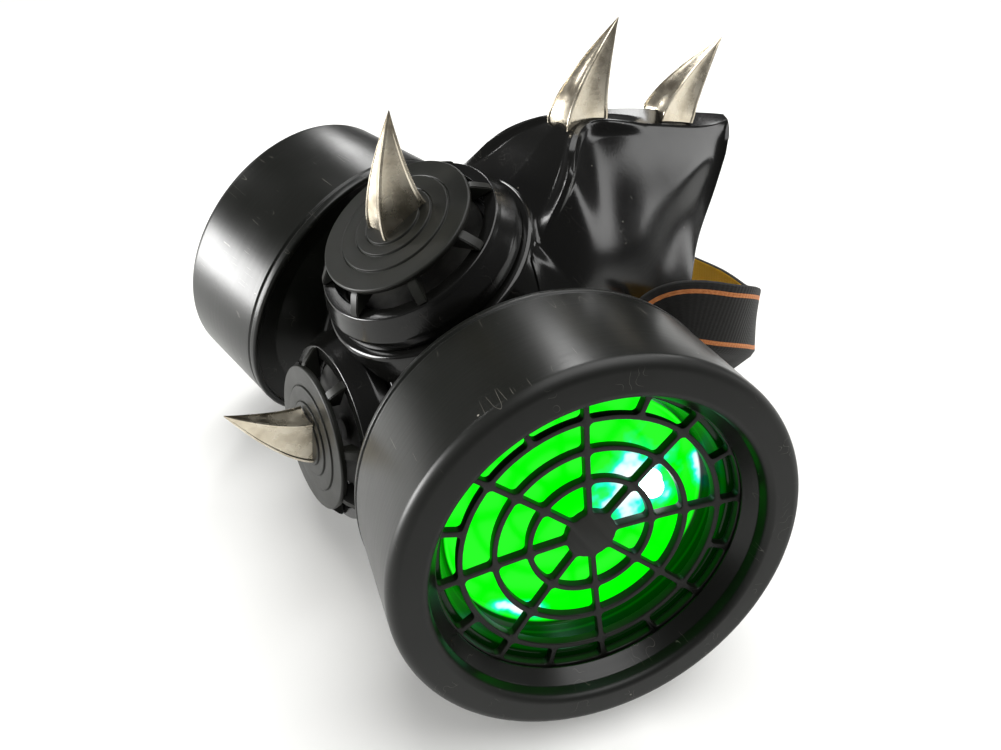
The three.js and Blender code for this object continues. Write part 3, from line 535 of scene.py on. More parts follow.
def joined(name, meshes):
    points, faces = [], []
    for mesh in meshes:
        start = len(points)
        points += [tuple(v.co) for v in mesh.vertices]
        faces += [[start + i for i in p.vertices] for p in mesh.polygons]
        bpy.data.meshes.remove(mesh)
    return meshOf(name, points, faces)


# The mesh with solids cut away from it, all in one frame
def cutBy(mesh, cutters, operation="DIFFERENCE"):
    scene = bpy.context.scene
    target = bpy.data.objects.new("cutTarget", mesh)
    scene.collection.objects.link(target)
    helpers = []
    for cutter in cutters:
        helper = bpy.data.objects.new("cutHelper", cutter)
        scene.collection.objects.link(helper)
        helpers.append(helper)
        modifier = target.modifiers.new("cut", "BOOLEAN")
        modifier.operation, modifier.solver, modifier.object = operation, "MANIFOLD", helper
    evaluated = target.evaluated_get(bpy.context.evaluated_depsgraph_get())
    made = bpy.data.meshes.new_from_object(evaluated)
    for one in [target] + helpers:
        data = one.data
        bpy.data.objects.remove(one)
        bpy.data.meshes.remove(data)
    return made


# Camera and its frame, measured from the photograph's perspective
camera = {
    "place": (0.12525, -0.0897, 0.15797),
    "forward": (-0.637, 0.441, -0.632),
    "up": (-0.521, 0.358, 0.775),
    "focalPixels": 670.15,
    "frameWidth": 1001,
    "sensor": 36,
}


def addCamera():
    forward = Vector(camera["forward"]).normalized()
    right = forward.cross(Vector(camera["up"])).normalized()
    up = right.cross(forward)
    data = bpy.data.cameras.new("photoCamera")
    data.sensor_fit = "HORIZONTAL"
    data.sensor_width = camera["sensor"]
    data.lens = camera["focalPixels"] * camera["sensor"] / camera["frameWidth"]
    data.clip_start = 0.01
    eye = bpy.data.objects.new("photoCamera", data)
    bpy.context.scene.collection.objects.link(eye)
    made = Matrix.Identity(4)
    for i, column in enumerate((right, up, -forward, Vector(camera["place"]))):
        for k in range(3):
            made[k][i] = column[k]
    eye.matrix_world = made
    bpy.context.scene.camera = eye


addCamera()
print("camera set")

# Face shell
# One row for each section of the right half, from the nose bridge to the chin; each runs from the crest on the
# centre line over the crease and the cheek to the lip and the rim. x is a share of the jaw's half width, y of the
# nose's rise above the valve and of the chin's drop below it, z of the shell's depth.
shell = {
    "noseRise": 94,
    "chinDrop": 52,
    "jawHalfWidth": 45,
    "depth": 92,
    "wall": 2.2,
    "rib": 1.15,
    "ribWidth": 3,
    "ribRows": (4, 9),
    "rowsPerSection": 13,
    "across": {"panel": 16, "cheek": 20, "side": 22, "lip": 6},
    "smoothing": 80,
    "fillet": 5,
    "bossEdge": 1.4,
    "sections": [
        ((1.001, 0.54), (0.055, 0.99, 0.54), (0.11, 0.967, 0.545), (0.155, 0.936, 0.555), (0.19, 0.9, 0.58)),
        ((0.956, 0.496), (0.085, 0.936, 0.508), (0.156, 0.883, 0.545), (0.211, 0.835, 0.595), (0.278, 0.778, 0.645)),
        ((0.894, 0.44), (0.095, 0.872, 0.462), (0.2, 0.809, 0.511), (0.267, 0.734, 0.592), (0.356, 0.681, 0.668)),
        ((0.809, 0.359), (0.095, 0.787, 0.38), (0.244, 0.713, 0.457), (0.356, 0.633, 0.592), (0.456, 0.606, 0.679)),
        ((0.723, 0.277), (0.095, 0.702, 0.299), (0.289, 0.617, 0.402), (0.433, 0.548, 0.598), (0.556, 0.537, 0.696)),
        ((0.628, 0.198), (0.085, 0.612, 0.217), (0.333, 0.527, 0.348), (0.533, 0.463, 0.609), (0.656, 0.457, 0.723)),
        ((0.516, 0.122), (0.075, 0.509, 0.133), (0.4, 0.426, 0.315), (0.622, 0.367, 0.63), (0.756, 0.356, 0.766)),
        ((0.417, 0.127), (0.289, 0.411, 0.133), (0.489, 0.34, 0.304), (0.7, 0.266, 0.658), (0.833, 0.25, 0.815)),
        ((0.328, 0.147), (0.367, 0.321, 0.158), (0.567, 0.255, 0.304), (0.767, 0.16, 0.696), (0.9, 0.138, 0.864)),
        ((0.234, 0.158), (0.422, 0.245, 0.158), (0.633, 0.16, 0.315), (0.822, 0.043, 0.739), (0.956, 0.011, 0.918)),
        ((0.085, 0.163), (0.533, 0.106, 0.207), (0.711, 0.032, 0.37), (0.856, -0.135, 0.804), (0.989, -0.192, 0.973)),
        ((-0.115, 0.168), (0.578, -0.115, 0.228), (0.756, -0.192, 0.435), (0.856, -0.365, 0.859), (1, -0.423, 1)),
        ((-0.327, 0.207), (0.556, -0.346, 0.293), (0.744, -0.462, 0.511), (0.811, -0.596, 0.87), (0.933, -0.644, 0.978)),
        ((-0.538, 0.337), (0.533, -0.538, 0.408), (0.689, -0.692, 0.587), (0.689, -0.808, 0.848), (0.778, -0.837, 0.918)),
        ((-0.75, 0.478), (0.489, -0.75, 0.533), (0.578, -0.865, 0.663), (0.511, -0.952, 0.826), (0.556, -0.952, 0.875)),
        ((-0.942, 0.614), (0.356, -0.933, 0.652), (0.378, -0.99, 0.739), (0.3, -1.01, 0.79), (0.311, -1, 0.837)),
        ((-1, 0.81), (0.067, -1, 0.811), (0.133, -1, 0.813), (0.178, -1, 0.817), (0.222, -1, 0.823)),
    ],
}
shell["sections"] = [dict(zip(("crest", "crease", "cheek", "lip", "rim"), row)) for row in shell["sections"]]


def tablePlane(y):
    return -(maskPlace["standHeight"] + y * math.sin(maskPlace["tilt"])) / math.cos(maskPlace["tilt"])


def shellPoint(x, y, z):
    rise = y * (shell["noseRise"] if y >= 0 else shell["chinDrop"])
    return np.array([x * shell["jawHalfWidth"], rise, max(-z * shell["depth"], tablePlane(rise))])


# Points along a centripetal Catmull-Rom curve through the controls, at shares of its length in controls
def curvePoints(controls, shares):
    controls = np.asarray(controls, float)
    last = len(controls) - 1
    padded = np.vstack([2 * controls[0] - controls[1], controls, 2 * controls[-1] - controls[-2]])
    gaps = np.maximum(np.linalg.norm(np.diff(padded, axis=0), axis=1) ** 0.5, 1e-4)
    made = []
    for share in shares:
        at = share * last
        i = min(int(at), last - 1)
        w = at - i
        p0, p1, p2, p3 = padded[i:i + 4]
        d0, d1, d2 = gaps[i:i + 3]
        t1 = ((p1 - p0) / d0 - (p2 - p0) / (d0 + d1) + (p2 - p1) / d1) * d1
        t2 = ((p2 - p1) / d1 - (p3 - p1) / (d1 + d2) + (p3 - p2) / d2) * d1
        made.append(p1 + t1 * w + (-3 * p1 + 3 * p2 - 2 * t1 - t2) * w ** 2 + (2 * p1 - 2 * p2 + t1 + t2) * w ** 3)
    return np.array(made)


# The outer face as an array of rows, each from the right rim over the crest to the left rim
def shellGrid():
    rows = (len(shell["sections"]) - 1) * shell["rowsPerSection"]
    shares = [i / rows for i in range(rows + 1)]
    rails = {"crest": curvePoints([shellPoint(0, *s["crest"]) for s in shell["sections"]], shares)}
    for key in ("crease", "cheek", "lip", "rim"):
        rails[key] = curvePoints([shellPoint(*s[key]) for s in shell["sections"]], shares)
    steps = shell["across"]
    sideShares = []
    for span, key in enumerate(("cheek", "side", "lip")):
        sideShares += [(span + k / steps[key]) / 3 for k in range(steps[key])]
    sideShares.append(1)
    grid = []
    for i in range(rows + 1):
        panel = [rails["crest"][i] + (rails["crease"][i] - rails["crest"][i]) * k / steps["panel"]
                 for k in range(steps["panel"])]
        side = curvePoints([rails[key][i] for key in ("crease", "cheek", "lip", "rim")], sideShares)
        grid.append(np.vstack([panel, side]))
    half = np.array(grid)
    # fairing down the face, and across the cheek, keeps the reflections even
    for _ in range(shell["smoothing"]):
        half[1:-1] += 0.25 * (half[:-2] - 2 * half[1:-1] + half[2:])
        first = steps["panel"] + 1
        half[:, first:-1] += 0.2 * (half[:, first - 1:-2] - 2 * half[:, first:-1] + half[:, first + 1:])
    floorZ = -(maskPlace["standHeight"] + half[..., 1] * math.sin(maskPlace["tilt"])) / math.cos(maskPlace["tilt"])
    half[..., 2] = np.maximum(half[..., 2], floorZ)
    mirror = half[:, 1:] * np.array([-1, 1, 1])
    return np.concatenate([half[:, ::-1], mirror], axis=1)


def gridNormals(grid):
    down, across = np.gradient(grid, axis=0), np.gradient(grid, axis=1)
    normal = np.cross(across, down)
    return normal / np.maximum(np.linalg.norm(normal, axis=2, keepdims=True), 1e-9)


# A concave fillet between the shell's face and a valve's boss: at each turn round the boss a quarter round from the
# face to the boss's side, closed behind inside the wall
def bossFillet(place, face):
    turns, steps = 240, 10
    inverse, downAxis = place.inverted(), place.to_3x3() @ Vector((0, 0, -1))
    crown = bossTop - shell["bossEdge"]

    def sideAt(z):
        return valve["boss"] + valve["bossFlare"] * (bossTop - z) / valve["bossDepth"]

    def faceAt(radius, angle):
        start = place @ Vector((radius * math.cos(angle), radius * math.sin(angle), 4))
        hit = face.ray_cast(start, downAxis)[0]
        return (inverse @ hit).z if hit else bossTop - valve["bossDepth"]

    sections = []
    for k in range(turns):
        angle = 2 * math.pi * k / turns
        seat = faceAt(sideAt(faceAt(valve["boss"] + 1, angle)), angle)
        reach = min(max(crown - seat, 0.6), shell["fillet"])
        section = []
        for i in range(steps + 1):
            climb = i / steps * math.pi / 2
            away, lift = reach * (1 - math.sin(climb)), reach * (1 - math.cos(climb))
            radius = sideAt(seat + lift) + away
            z = faceAt(radius, angle) + lift
            section.append((radius, min(z, crown)))
        section[0] = (section[0][0], section[0][1] - 0.04)
        section[-1] = (section[-1][0] - 0.05, section[-1][1])
        topRadius, topZ = section[-1]
        section += [(topRadius - 1.2, topZ), (topRadius - 1.2, seat - 0.8), (section[0][0], section[0][1] - 0.9)]
        sections.append([(r * math.cos(angle), r * math.sin(angle), z) for r, z in section])
    count = len(sections[0])
    points = [point for section in sections for point in section]
    faces = []
    for k in range(turns):
        for i in range(count):
            n, up = (i + 1) % count, (k + 1) % turns
            faces.append((k * count + i, k * count + n, up * count + n, up * count + i))
    mesh = finishMesh(meshOf("bossFillet", points, faces))
    mesh.transform(place)
    return mesh


# Raised bead along the crease from the nose to the valve
def raiseRib(grid, normals):
    middle = grid.shape[1] // 2
    first, last = (row * shell["rowsPerSection"] for row in shell["ribRows"])
    rows = np.arange(grid.shape[0])
    fade = np.clip((rows - first) / 16, 0, 1) * np.clip((last - rows) / 18, 0, 1)
    raised = grid.copy()
    for side in (-1, 1):
        crease = grid[:, middle + side * shell["across"]["panel"]]
        away = np.linalg.norm(grid - crease[:, None], axis=-1)
        bead = 0.5 + 0.5 * np.cos(np.pi * np.clip(away / shell["ribWidth"], 0, 1))
        sameSide = (np.sign(grid[..., 0]) != side) | (np.abs(grid[..., 0]) < 0.2)
        raised += normals * (shell["rib"] * bead * fade[:, None] * sameSide)[..., None]
    return raised


# A closed wall between the outer and the inner face, with half-round edges
def wallMesh(name, outer, inner):
    rows, columns = outer.shape[:2]
    edgeSteps = 4
    half = np.linalg.norm(outer - inner, axis=-1).mean() / 2

    def rounded(outerEdge, innerEdge, outward):
        middle = (outerEdge + innerEdge) / 2
        outward = outward / np.maximum(np.linalg.norm(outward, axis=-1, keepdims=True), 1e-9)
        centre = middle - outward * half
        made = []
        for k in range(edgeSteps + 1):
            a = math.pi * k / edgeSteps
            made.append(centre + (outerEdge - middle) * math.cos(a) + outward * half * math.sin(a))
        return made

    rightEdge = rounded(outer[:, 0], inner[:, 0], outer[:, 0] - outer[:, 2])
    leftEdge = rounded(outer[:, -1], inner[:, -1], outer[:, -1] - outer[:, -3])
    across = np.concatenate([
        outer[:, 1:-1],
        np.stack(leftEdge, axis=1),
        inner[:, -2:0:-1],
        np.stack(rightEdge[::-1], axis=1),
    ], axis=1)
    count = across.shape[1]
    points = across.reshape(-1, 3)
    faces = []
    for i in range(rows - 1):
        for j in range(count):
            n = (j + 1) % count
            faces.append((i * count + j, i * count + n, (i + 1) * count + n, (i + 1) * count + j))
    span = columns - 2
    for row in (0, rows - 1):
        start = row * count
        outerRow = [start + k for k in range(span)]
        innerRow = [start + span + edgeSteps + 1 + k for k in range(span)][::-1]
        for k in range(span - 1):
            faces.append((outerRow[k], outerRow[k + 1], innerRow[k + 1], innerRow[k]))
        faces.append([outerRow[-1]] + [start + span + k for k in range(edgeSteps + 1)] + [innerRow[-1]])
        rightStart = start + 2 * span + edgeSteps + 1
        faces.append([innerRow[0]] + [rightStart + k for k in range(edgeSteps + 1)] + [outerRow[0]])
    return meshOf(name, points, faces)


bossTop = -valve["depth"] - clearance
neckEnd = -canister["depth"] - canister["shoulderDepth"] - canister["neckLength"]
rivet = {"section": 7, "step": 7, "radius": 5, "hole": 2.2}
band = {
    "width": 25,
    "thickness": 1.4,
    "reach": 100,
    "tail": 5,
    "standoff": 2.2,
    "flat": 6,
    "steps": 260,
    "stripes": (22.4, 9.2),
    "stripeWidth": 1.1,
    "curlFrom": 7.5,
    "curl": 50 * degree,
    # the loop's middle line from the right cheek round the back to the left, as shares of its reach and of the
    # mask's stand height, with how far the band leans
    "route": [
        (0.365, 0.6, 0.655, 0.25), (0.42, 0.7, 0.635, 0.22), (0.425, 0.79, 0.59, 0.2), (0.39, 0.885, 0.52, 0.2),
        (0.31, 0.965, 0.475, 0.15), (0.19, 1, 0.46, 0.1), (0, 1.02, 0.43, 0.05), (-0.22, 1.03, 0.42, 0.05),
        (-0.42, 0.99, 0.43, 0.1), (-0.53, 0.88, 0.48, 0.15), (-0.54, 0.76, 0.55, 0.2), (-0.47, 0.66, 0.61, 0.22),
        (-0.385, 0.585, 0.65, 0.25),
    ],
}


# The place on the shell's face where a strap end is riveted
def rivetFrame(side):
    row, column = rivet["section"], rivet["step"]
    coarse = [2, 2, 3, 1]
    keys = ["crease", "cheek", "lip", "rim"]

    def facePoint(section, step):
        s = shell["sections"][section]
        crest, crease = shellPoint(0, *s["crest"]), shellPoint(*s["crease"])
        if step <= coarse[0]:
            return crest + (crease - crest) * step / coarse[0]
        span, rest = 0, step - coarse[0]
        while rest > coarse[span + 1]:
            rest -= coarse[span + 1]
            span += 1
        share = (span + rest / coarse[span + 1]) / 3
        return curvePoints([shellPoint(*s[key]) for key in keys], [share])[0]

    point = facePoint(row, column)
    down = facePoint(row + 1, column) - facePoint(row - 1, column)
    across = facePoint(row, column + 1) - facePoint(row, column - 1)
    normal = np.cross(down, across)
    normal *= 1 if normal[0] > 0 else -1
    if side == "left":
        point, normal = point * np.array([-1, 1, 1]), normal * np.array([-1, 1, 1])
    return frameAt(point, normal)


rivetFrames = {side: rivetFrame(side) for side in ("right", "left")}


def bore(radius, top, bottom, place, sides=96):
    mesh = turned("bore", [(0, top), (radius, top), (radius, bottom), (0, bottom)], sides, closed=False)
    finishMesh(mesh)
    mesh.transform(place)
    return mesh


def faceShell():
    base = shellGrid()
    normals = gridNormals(base)
    outer = raiseRib(base, normals)
    rows, columns = outer.shape[:2]
    quads = [(i * columns + j, i * columns + j + 1, (i + 1) * columns + j + 1, (i + 1) * columns + j)
             for i in range(rows - 1) for j in range(columns - 1)]
    face = BVHTree.FromPolygons([Vector(p) for p in outer.reshape(-1, 3)], quads)
    inner = base - normals * shell["wall"]
    wall = wallMesh("faceWall", outer, inner)
    for vertex in wall.vertices:
        vertex.co.z = max(vertex.co.z, tablePlane(vertex.co.y))
    finishMesh(wall)
    hollowFace = base - normals * (shell["wall"] - 0.1)
    core = hollowFace + 0.7 * (np.stack([np.zeros_like(base[..., 0]), base[..., 1] * 0.7,
                                         np.full_like(base[..., 0], -0.8 * shell["depth"])], axis=-1) - hollowFace)
    cutters = []
    for place in valveFrames.values():
        cutters.append(bore(valve["bore"], 0, -2 * valve["depth"] - valve["bossDepth"], place))
        cutters.append(bore(valve["skirt"] + clearance, 0, bossTop, place))
    for place in canisterFrames.values():
        cutters.append(bore(canister["neckBore"], 0, 2 * neckEnd, place))
    for place in rivetFrames.values():
        cutters.append(bore(rivet["hole"] + clearance, 2 * shell["wall"], -2 * shell["wall"], place, 32))
    wall = cutBy(wall, cutters)
    bosses = []
    for place in valveFrames.values():
        outline = filleted([
            (valve["bore"], bossTop, 0.3),
            (valve["boss"], bossTop, 1.3),
            (valve["boss"] + valve["bossFlare"], bossTop - valve["bossDepth"], 0),
            (valve["bore"], bossTop - valve["bossDepth"], 0),
        ])
        boss = finishMesh(turned("boss", outline, valve["sides"]))
        boss.transform(place)
        bosses.append(boss)
    for place in canisterFrames.values():
        radius, top, bottom = canister["neckRadius"] + 2, neckEnd - clearance, neckEnd - 9
        outline = filleted([(canister["neckBore"], top, 0.3), (radius, top, 1), (radius, bottom, 0),
                            (canister["neckBore"], bottom, 0)])
        boss = finishMesh(turned("boss", outline, 96))
        boss.transform(place)
        bosses.append(boss)
    fillets = []
    for place in valveFrames.values():
        pockets = [bore(valve["skirt"] + clearance, 20, bossTop, other) for other in valveFrames.values()]
        fillets.append(cutBy(bossFillet(place, face), pockets))
    trimmed = []
    for boss in bosses:
        hollow = finishMesh(wallMesh("hollow", hollowFace, core))
        trimmed.append(cutBy(boss, [hollow]))
    mesh = finishMesh(joined("face_shell_skin", [wall] + trimmed + fillets), 38)
    return addPiece("face_shell_skin", mesh, Matrix.Identity(4), glossBlack, "gloss_black", "face_shell")


# Canisters
def sideRadius(z):
    return canister["radius"] - (canister["backRadius"] - canister["radius"]) * z / canister["depth"]


def canisterHousing(side):
    c = canister
    back, recess = -c["depth"], -c["depth"] + c["backRecess"]
    front, floor = -bezel["depth"], recess + c["wall"]
    neckFloor = back - c["shoulderDepth"] + 2 * c["wall"]
    outline = filleted([
        (c["neckBore"], neckEnd, 0.4),
        (c["neckRadius"], neckEnd, 0.6),
        (c["neckRadius"], back - c["shoulderDepth"], 1.5),
        (c["shoulderRadius"], recess, 1.5),
        (c["backRadius"] - c["backLip"], recess, 0.4),
        (c["backRadius"] - c["backLip"], back, 0.5),
        (c["backRadius"], back, 0.7),
        (c["backRadius"], back + c["backLip"], 0.35),
        (sideRadius(back) - c["lipGroove"], back + c["backLip"] + 0.35, 0.2),
        (sideRadius(back) - c["lipGroove"], back + c["backLip"] + 0.75, 0.2),
        (sideRadius(back + 3.1), back + c["backLip"] + 1.2, 0.4),
        (sideRadius(front), front, 0),
        (sideRadius(front) - c["wall"], front, 0),
        (sideRadius(floor) - c["wall"], floor, 1),
        (c["shoulderRadius"], floor, 1.5),
        (c["neckRadius"], neckFloor, 1.5),
        (c["neckBore"], neckFloor, 0.4),
    ])
    mesh = finishMesh(turned("housing", outline, c["sides"]), 30)
    return addPiece("canister_body_" + side, mesh, canisterFrames[side], canisterBlack, "gloss_black",
                    "canister_housing_" + side)


grilleTop = -bezel["setback"] - clearance
grilleBottom = grilleTop - grille["depth"]
reflectorTop = grilleBottom - clearance
reflectorFloor = reflectorTop - reflector["depth"]


def canisterBezel(side):
    b = bezel
    spigotEnd = reflectorTop - reflector["wall"]
    spigot = sideRadius(-b["depth"]) - canister["wall"] - clearance
    outline = filleted([
        (sideRadius(-b["depth"]), -b["depth"], 0),
        (sideRadius(0), 0, b["edge"]),
        (b["opening"], 0, b["innerEdge"]),
        (b["step"][0], b["step"][1], 0.8),
        (b["opening"] - b["slope"], -b["setback"], 0.3),
        (b["opening"] + clearance, -b["setback"], 0),
        (b["opening"] + clearance, spigotEnd, 0.3),
        (spigot, spigotEnd, 0.3),
        (spigot, -b["depth"], 0),
    ], arcStep=6 * degree)
    mesh = finishMesh(turned("bezel", outline, canister["sides"]), 30)
    return addPiece("canister_ring_" + side, mesh, canisterFrames[side], canisterBlack, "satin_black",
                    "canister_bezel_" + side)


# The outline of one window of the grille between two radii and two spokes, with rounded corners
def windowOutline(inner, outer, first, last, wall, corner):
    def cornerArc(radius, angle, radialSign, turnSign):
        # the corner's own small circle touches both the ring and the spoke
        r = radius + radialSign * corner
        swing = (wall / 2 + corner) / r
        centreAngle = angle + turnSign * swing
        return r, centreAngle

    points = []
    corners = [
        (inner, first, 1, 1), (inner, last, 1, -1), (outer, last, -1, -1), (outer, first, -1, 1),
    ]
    placed = [cornerArc(*c) + c[2:] for c in corners]
    for i, (r, angle, radialSign, turnSign) in enumerate(placed):
        centre = np.array([r * math.cos(angle), r * math.sin(angle)])
        toRing = np.array([math.cos(angle), math.sin(angle)]) * -radialSign
        spokeAngle = corners[i][1]
        toSpoke = np.array([math.sin(spokeAngle), -math.cos(spokeAngle)]) * turnSign
        before, after = (toSpoke, toRing) if i % 2 == 0 else (toRing, toSpoke)
        for k in range(5):
            way = before * (1 - k / 4) + after * (k / 4)
            points.append(centre + way / np.linalg.norm(way) * corner)
        if i % 2 == 0:
            other = placed[i + 1]
            ringRadius = corners[i][0]
            for k in range(1, 8):
                a = angle + (other[1] - angle) * k / 8
                points.append(np.array([math.cos(a), math.sin(a)]) * ringRadius)
    return points


def canisterGrille(side):
    g = grille
    turn = g["turn"] if side == "right" else -g["turn"]
    rim = bezel["opening"] - bezel["slope"]
    half = g["wall"] / 2
    windows = []
    radii = [g["hub"]] + list(g["rings"]) + [rim]
    for ring in range(4):
        inner = radii[ring] + (half if ring else 0)
        outer = radii[ring + 1] - (half if ring < 3 else 0)
        count = g["spokes"] * (2 if ring == 3 else 1)
        for k in range(count):
            first = turn + 2 * math.pi * k / count
            windows.append(windowOutline(inner, outer, first, first + 2 * math.pi / count, g["wall"], g["corner"]))
    border = [(bezel["opening"] * math.cos(a), bezel["opening"] * math.sin(a))
              for a in (2 * math.pi * k / 160 for k in range(160))]
    curve = bpy.data.curves.new("grilleOutline", "CURVE")
    curve.dimensions = "2D"
    curve.fill_mode = "BOTH"
    curve.extrude = g["depth"] / 2 - g["bevel"]
    curve.bevel_depth = g["bevel"]
    curve.bevel_resolution = 2
    curve.offset = -g["bevel"]
    for outline in [border] + windows:
        spline = curve.splines.new("POLY")
        spline.points.add(len(outline) - 1)
        for point, (x, y) in zip(spline.points, outline):
            point.co = (x, y, 0, 1)
        spline.use_cyclic_u = True
    helper = bpy.data.objects.new("grilleHelper", curve)
    bpy.context.scene.collection.objects.link(helper)
    mesh = bpy.data.meshes.new_from_object(helper.evaluated_get(bpy.context.evaluated_depsgraph_get()))
    bpy.data.objects.remove(helper)
    bpy.data.curves.remove(curve)
    mesh.transform(Matrix.Translation((0, 0, (grilleTop + grilleBottom) / 2)))
    for vertex in mesh.vertices:
        share = min(math.hypot(vertex.co.x, vertex.co.y) / (rim - reflector["wall"]), 1)
        vertex.co.z -= g["dish"] * (1 - share ** 2)
    mesh.materials.clear()
    return addPiece("canister_web_" + side, finishMesh(mesh, 30), canisterFrames[side], grilleGlowTinted, "grille_black",
                    "canister_grille_" + side)


def lightReflector(side):
    r = reflector
    mouth = bezel["opening"] - bezel["slope"]
    flangeBottom = reflectorTop - r["wall"]
    outline = filleted([
        (0, reflectorFloor - r["wall"], 0),
        (r["floor"] + r["wall"], reflectorFloor - r["wall"], r["corner"] + r["wall"]),
        (mouth, flangeBottom, 0.3),
        (bezel["opening"], flangeBottom, 0.2),
        (bezel["opening"], reflectorTop, 0.2),
        (mouth - r["wall"], reflectorTop, 0.6),
        (r["floor"], reflectorFloor, r["corner"]),
        (0, reflectorFloor, 0),
    ], closed=False)
    mesh = finishMesh(turned("reflector", outline, 128, closed=False), 40)
    # the bowl's emission is painted light from the lamp
    green = paintedGlowAcrylic("paintedGlowGreenAcrylic_" + side, 1 if side == "right" else -1)
    return addPiece("light_bowl_" + side, mesh, canisterFrames[side], green, "green_reflector",
                    "light_reflector_" + side)


def ledLamp(side):
    radius, height, flange = lamp["radius"], lamp["height"], lamp["flange"]
    dome = [(radius * math.cos(a), height - radius + radius * math.sin(a))
            for a in (k * math.pi / 20 for k in range(11))]
    outline = [(0, 0), (radius + flange, 0), (radius + flange, flange), (radius, flange)] + dome[:-1] + [(0, height)]
    mesh = finishMesh(turned("lamp", outline, 40, closed=False), 40)
    back = lamp["back"] if side == "right" else -lamp["back"]
    place = canisterFrames[side] @ Matrix.Translation((back, lamp["up"], reflectorFloor + clearance))
    return addPiece("lamp_" + side, mesh, place, lampClear, "led_lens", "led_" + side)


# Valves
capTop = 0.9


def valveCap(end):
    v = valve
    groove = 0.5
    corners = [(0, -v["capThickness"], 0), (v["cap"] - 0.4, -v["capThickness"], 0.3), (v["cap"], 0, 0.5)]
    level = 0
    steps = len(v["grooves"])
    for radius in v["grooves"]:
        rise = capTop / steps
        corners += [(radius + groove, level, 0.12), (radius + groove * 0.4, level - 0.25, 0.1),
                    (radius, level + rise, 0.2)]
        level += rise
    corners += [(0, level, 0)]
    parts = [finishMesh(turned("cap", filleted(corners, closed=False), v["sides"], closed=False))]
    foot = -v["cageDrop"] + clearance / 2
    for i in range(v["posts"]):
        angle = (i + 0.5) * 2 * math.pi / v["posts"]
        profile = [(v["postInner"], -1.2), (v["cap"] - 0.5, -0.9), (v["cap"] + 0.6, -1.5), (v["cage"] - 0.5, foot + 0.9),
                   (v["cage"] - 0.2, foot), (v["postInner"], foot)]
        width = v["postWidth"] / 2
        work = bmesh.new()
        rings = [[work.verts.new((r, y, z)) for r, z in profile] for y in (-width, width)]
        work.faces.new(rings[0])
        work.faces.new(rings[1][::-1])
        for k in range(len(profile)):
            n = (k + 1) % len(profile)
            work.faces.new((rings[0][k], rings[0][n], rings[1][n], rings[1][k]))
        bmesh.ops.recalc_face_normals(work, faces=work.faces)
        bmesh.ops.bevel(work, geom=list(work.edges), offset=0.22, segments=2, affect="EDGES", clamp_overlap=True)
        post = bpy.data.meshes.new("post")
        work.to_mesh(post)
        work.free()
        post.transform(Matrix.Rotation(angle, 4, "Z"))
        parts.append(post)
    mesh = finishMesh(joined("cap", parts), 35)
    return addPiece("valve_cover_" + end, mesh, valveFrames[end], satinBlack, "satin_black", "valve_cap_" + end)


def valveHousing(end):
    v = valve
    seatTop = -v["depth"] + v["seat"]
    outline = filleted([
        (v["cageInner"], -v["cageDrop"], 0.35),
        (v["cage"], -v["cageDrop"], 0.5),
        (v["cage"] + 0.6, -v["cageDrop"] - 1.2, 1.2),
        (v["skirt"], -v["depth"] + 3.2, 1.6),
        (v["skirt"], -v["depth"], 0.5),
        (v["bore"], -v["depth"], 0.2),
        (v["bore"], seatTop, 0.4),
        (v["cageInner"], seatTop, 1),
    ])
    mesh = finishMesh(turned("valveHousing", outline, v["sides"]), 35)
    return addPiece("valve_cage_" + end, mesh, valveFrames[end], cageBlack, "satin_black", "valve_housing_" + end)


def valveFlap(end):
    bottom = -valve["depth"] + valve["seat"] + clearance
    outline = filleted([
        (0, bottom, 0), (valve["flap"], bottom, 0.3), (valve["flap"], bottom + 0.8, 0.3), (12, bottom + 0.7, 2),
        (4, bottom + 1.2, 1), (3, bottom + 2, 0.6), (0, bottom + 2, 0),
    ], closed=False)
    mesh = finishMesh(turned("flap", outline, 96, closed=False), 40)
    return addPiece("valve_flap_" + end + "_rubber", mesh, valveFrames[end], flapBlack, "flap_rubber",
                    "valve_flap_" + end)


# Spikes: four-sided claws with hollow facets framed by narrow polished ridges
spike = {
    "height": 19,
    "width": 8,
    "length": 12.5,
    "lean": 11.7,
    "offset": 1.5,
    "hollow": 0.14,
    "ridge": 0.055,
    "step": 0.035,
    "sink": 2,
    "levels": [(0, 1), (0.12, 0.93), (0.3, 0.8), (0.5, 0.62), (0.7, 0.41), (0.87, 0.2), (1, 0.02)],
    "noseHeights": {"lower": 51.4, "upper": 76.8},
}


def spikeSection(size):
    s = spike
    ridge = s["ridge"] / max(size, 0.15)
    ridge = min(ridge, 0.3)
    points = []
    sides = [((1, 1), (-1, 1)), ((-1, 1), (-1, -1)), ((-1, -1), (1, -1)), ((1, -1), (1, 1))]
    for (ax, ay), (bx, by) in sides:
        normalX, normalY = (ax + bx) / 2, (ay + by) / 2
        shares = [ridge * 0.35, ridge, ridge + 0.03]
        shares += [ridge + 0.03 + (1 - 2 * ridge - 0.06) * k / 8 for k in range(1, 8)]
        shares += [1 - ridge - 0.03, 1 - ridge, 1 - ridge * 0.35]
        for i, share in enumerate(shares):
            dip = 0 if i in (0, 1, len(shares) - 2, len(shares) - 1) else s["step"] + s["hollow"] * 4 * share * (1 - share)
            x, y = ax + (bx - ax) * share, ay + (by - ay) * share
            points.append((x - normalX * dip, y - normalY * dip))
    return points


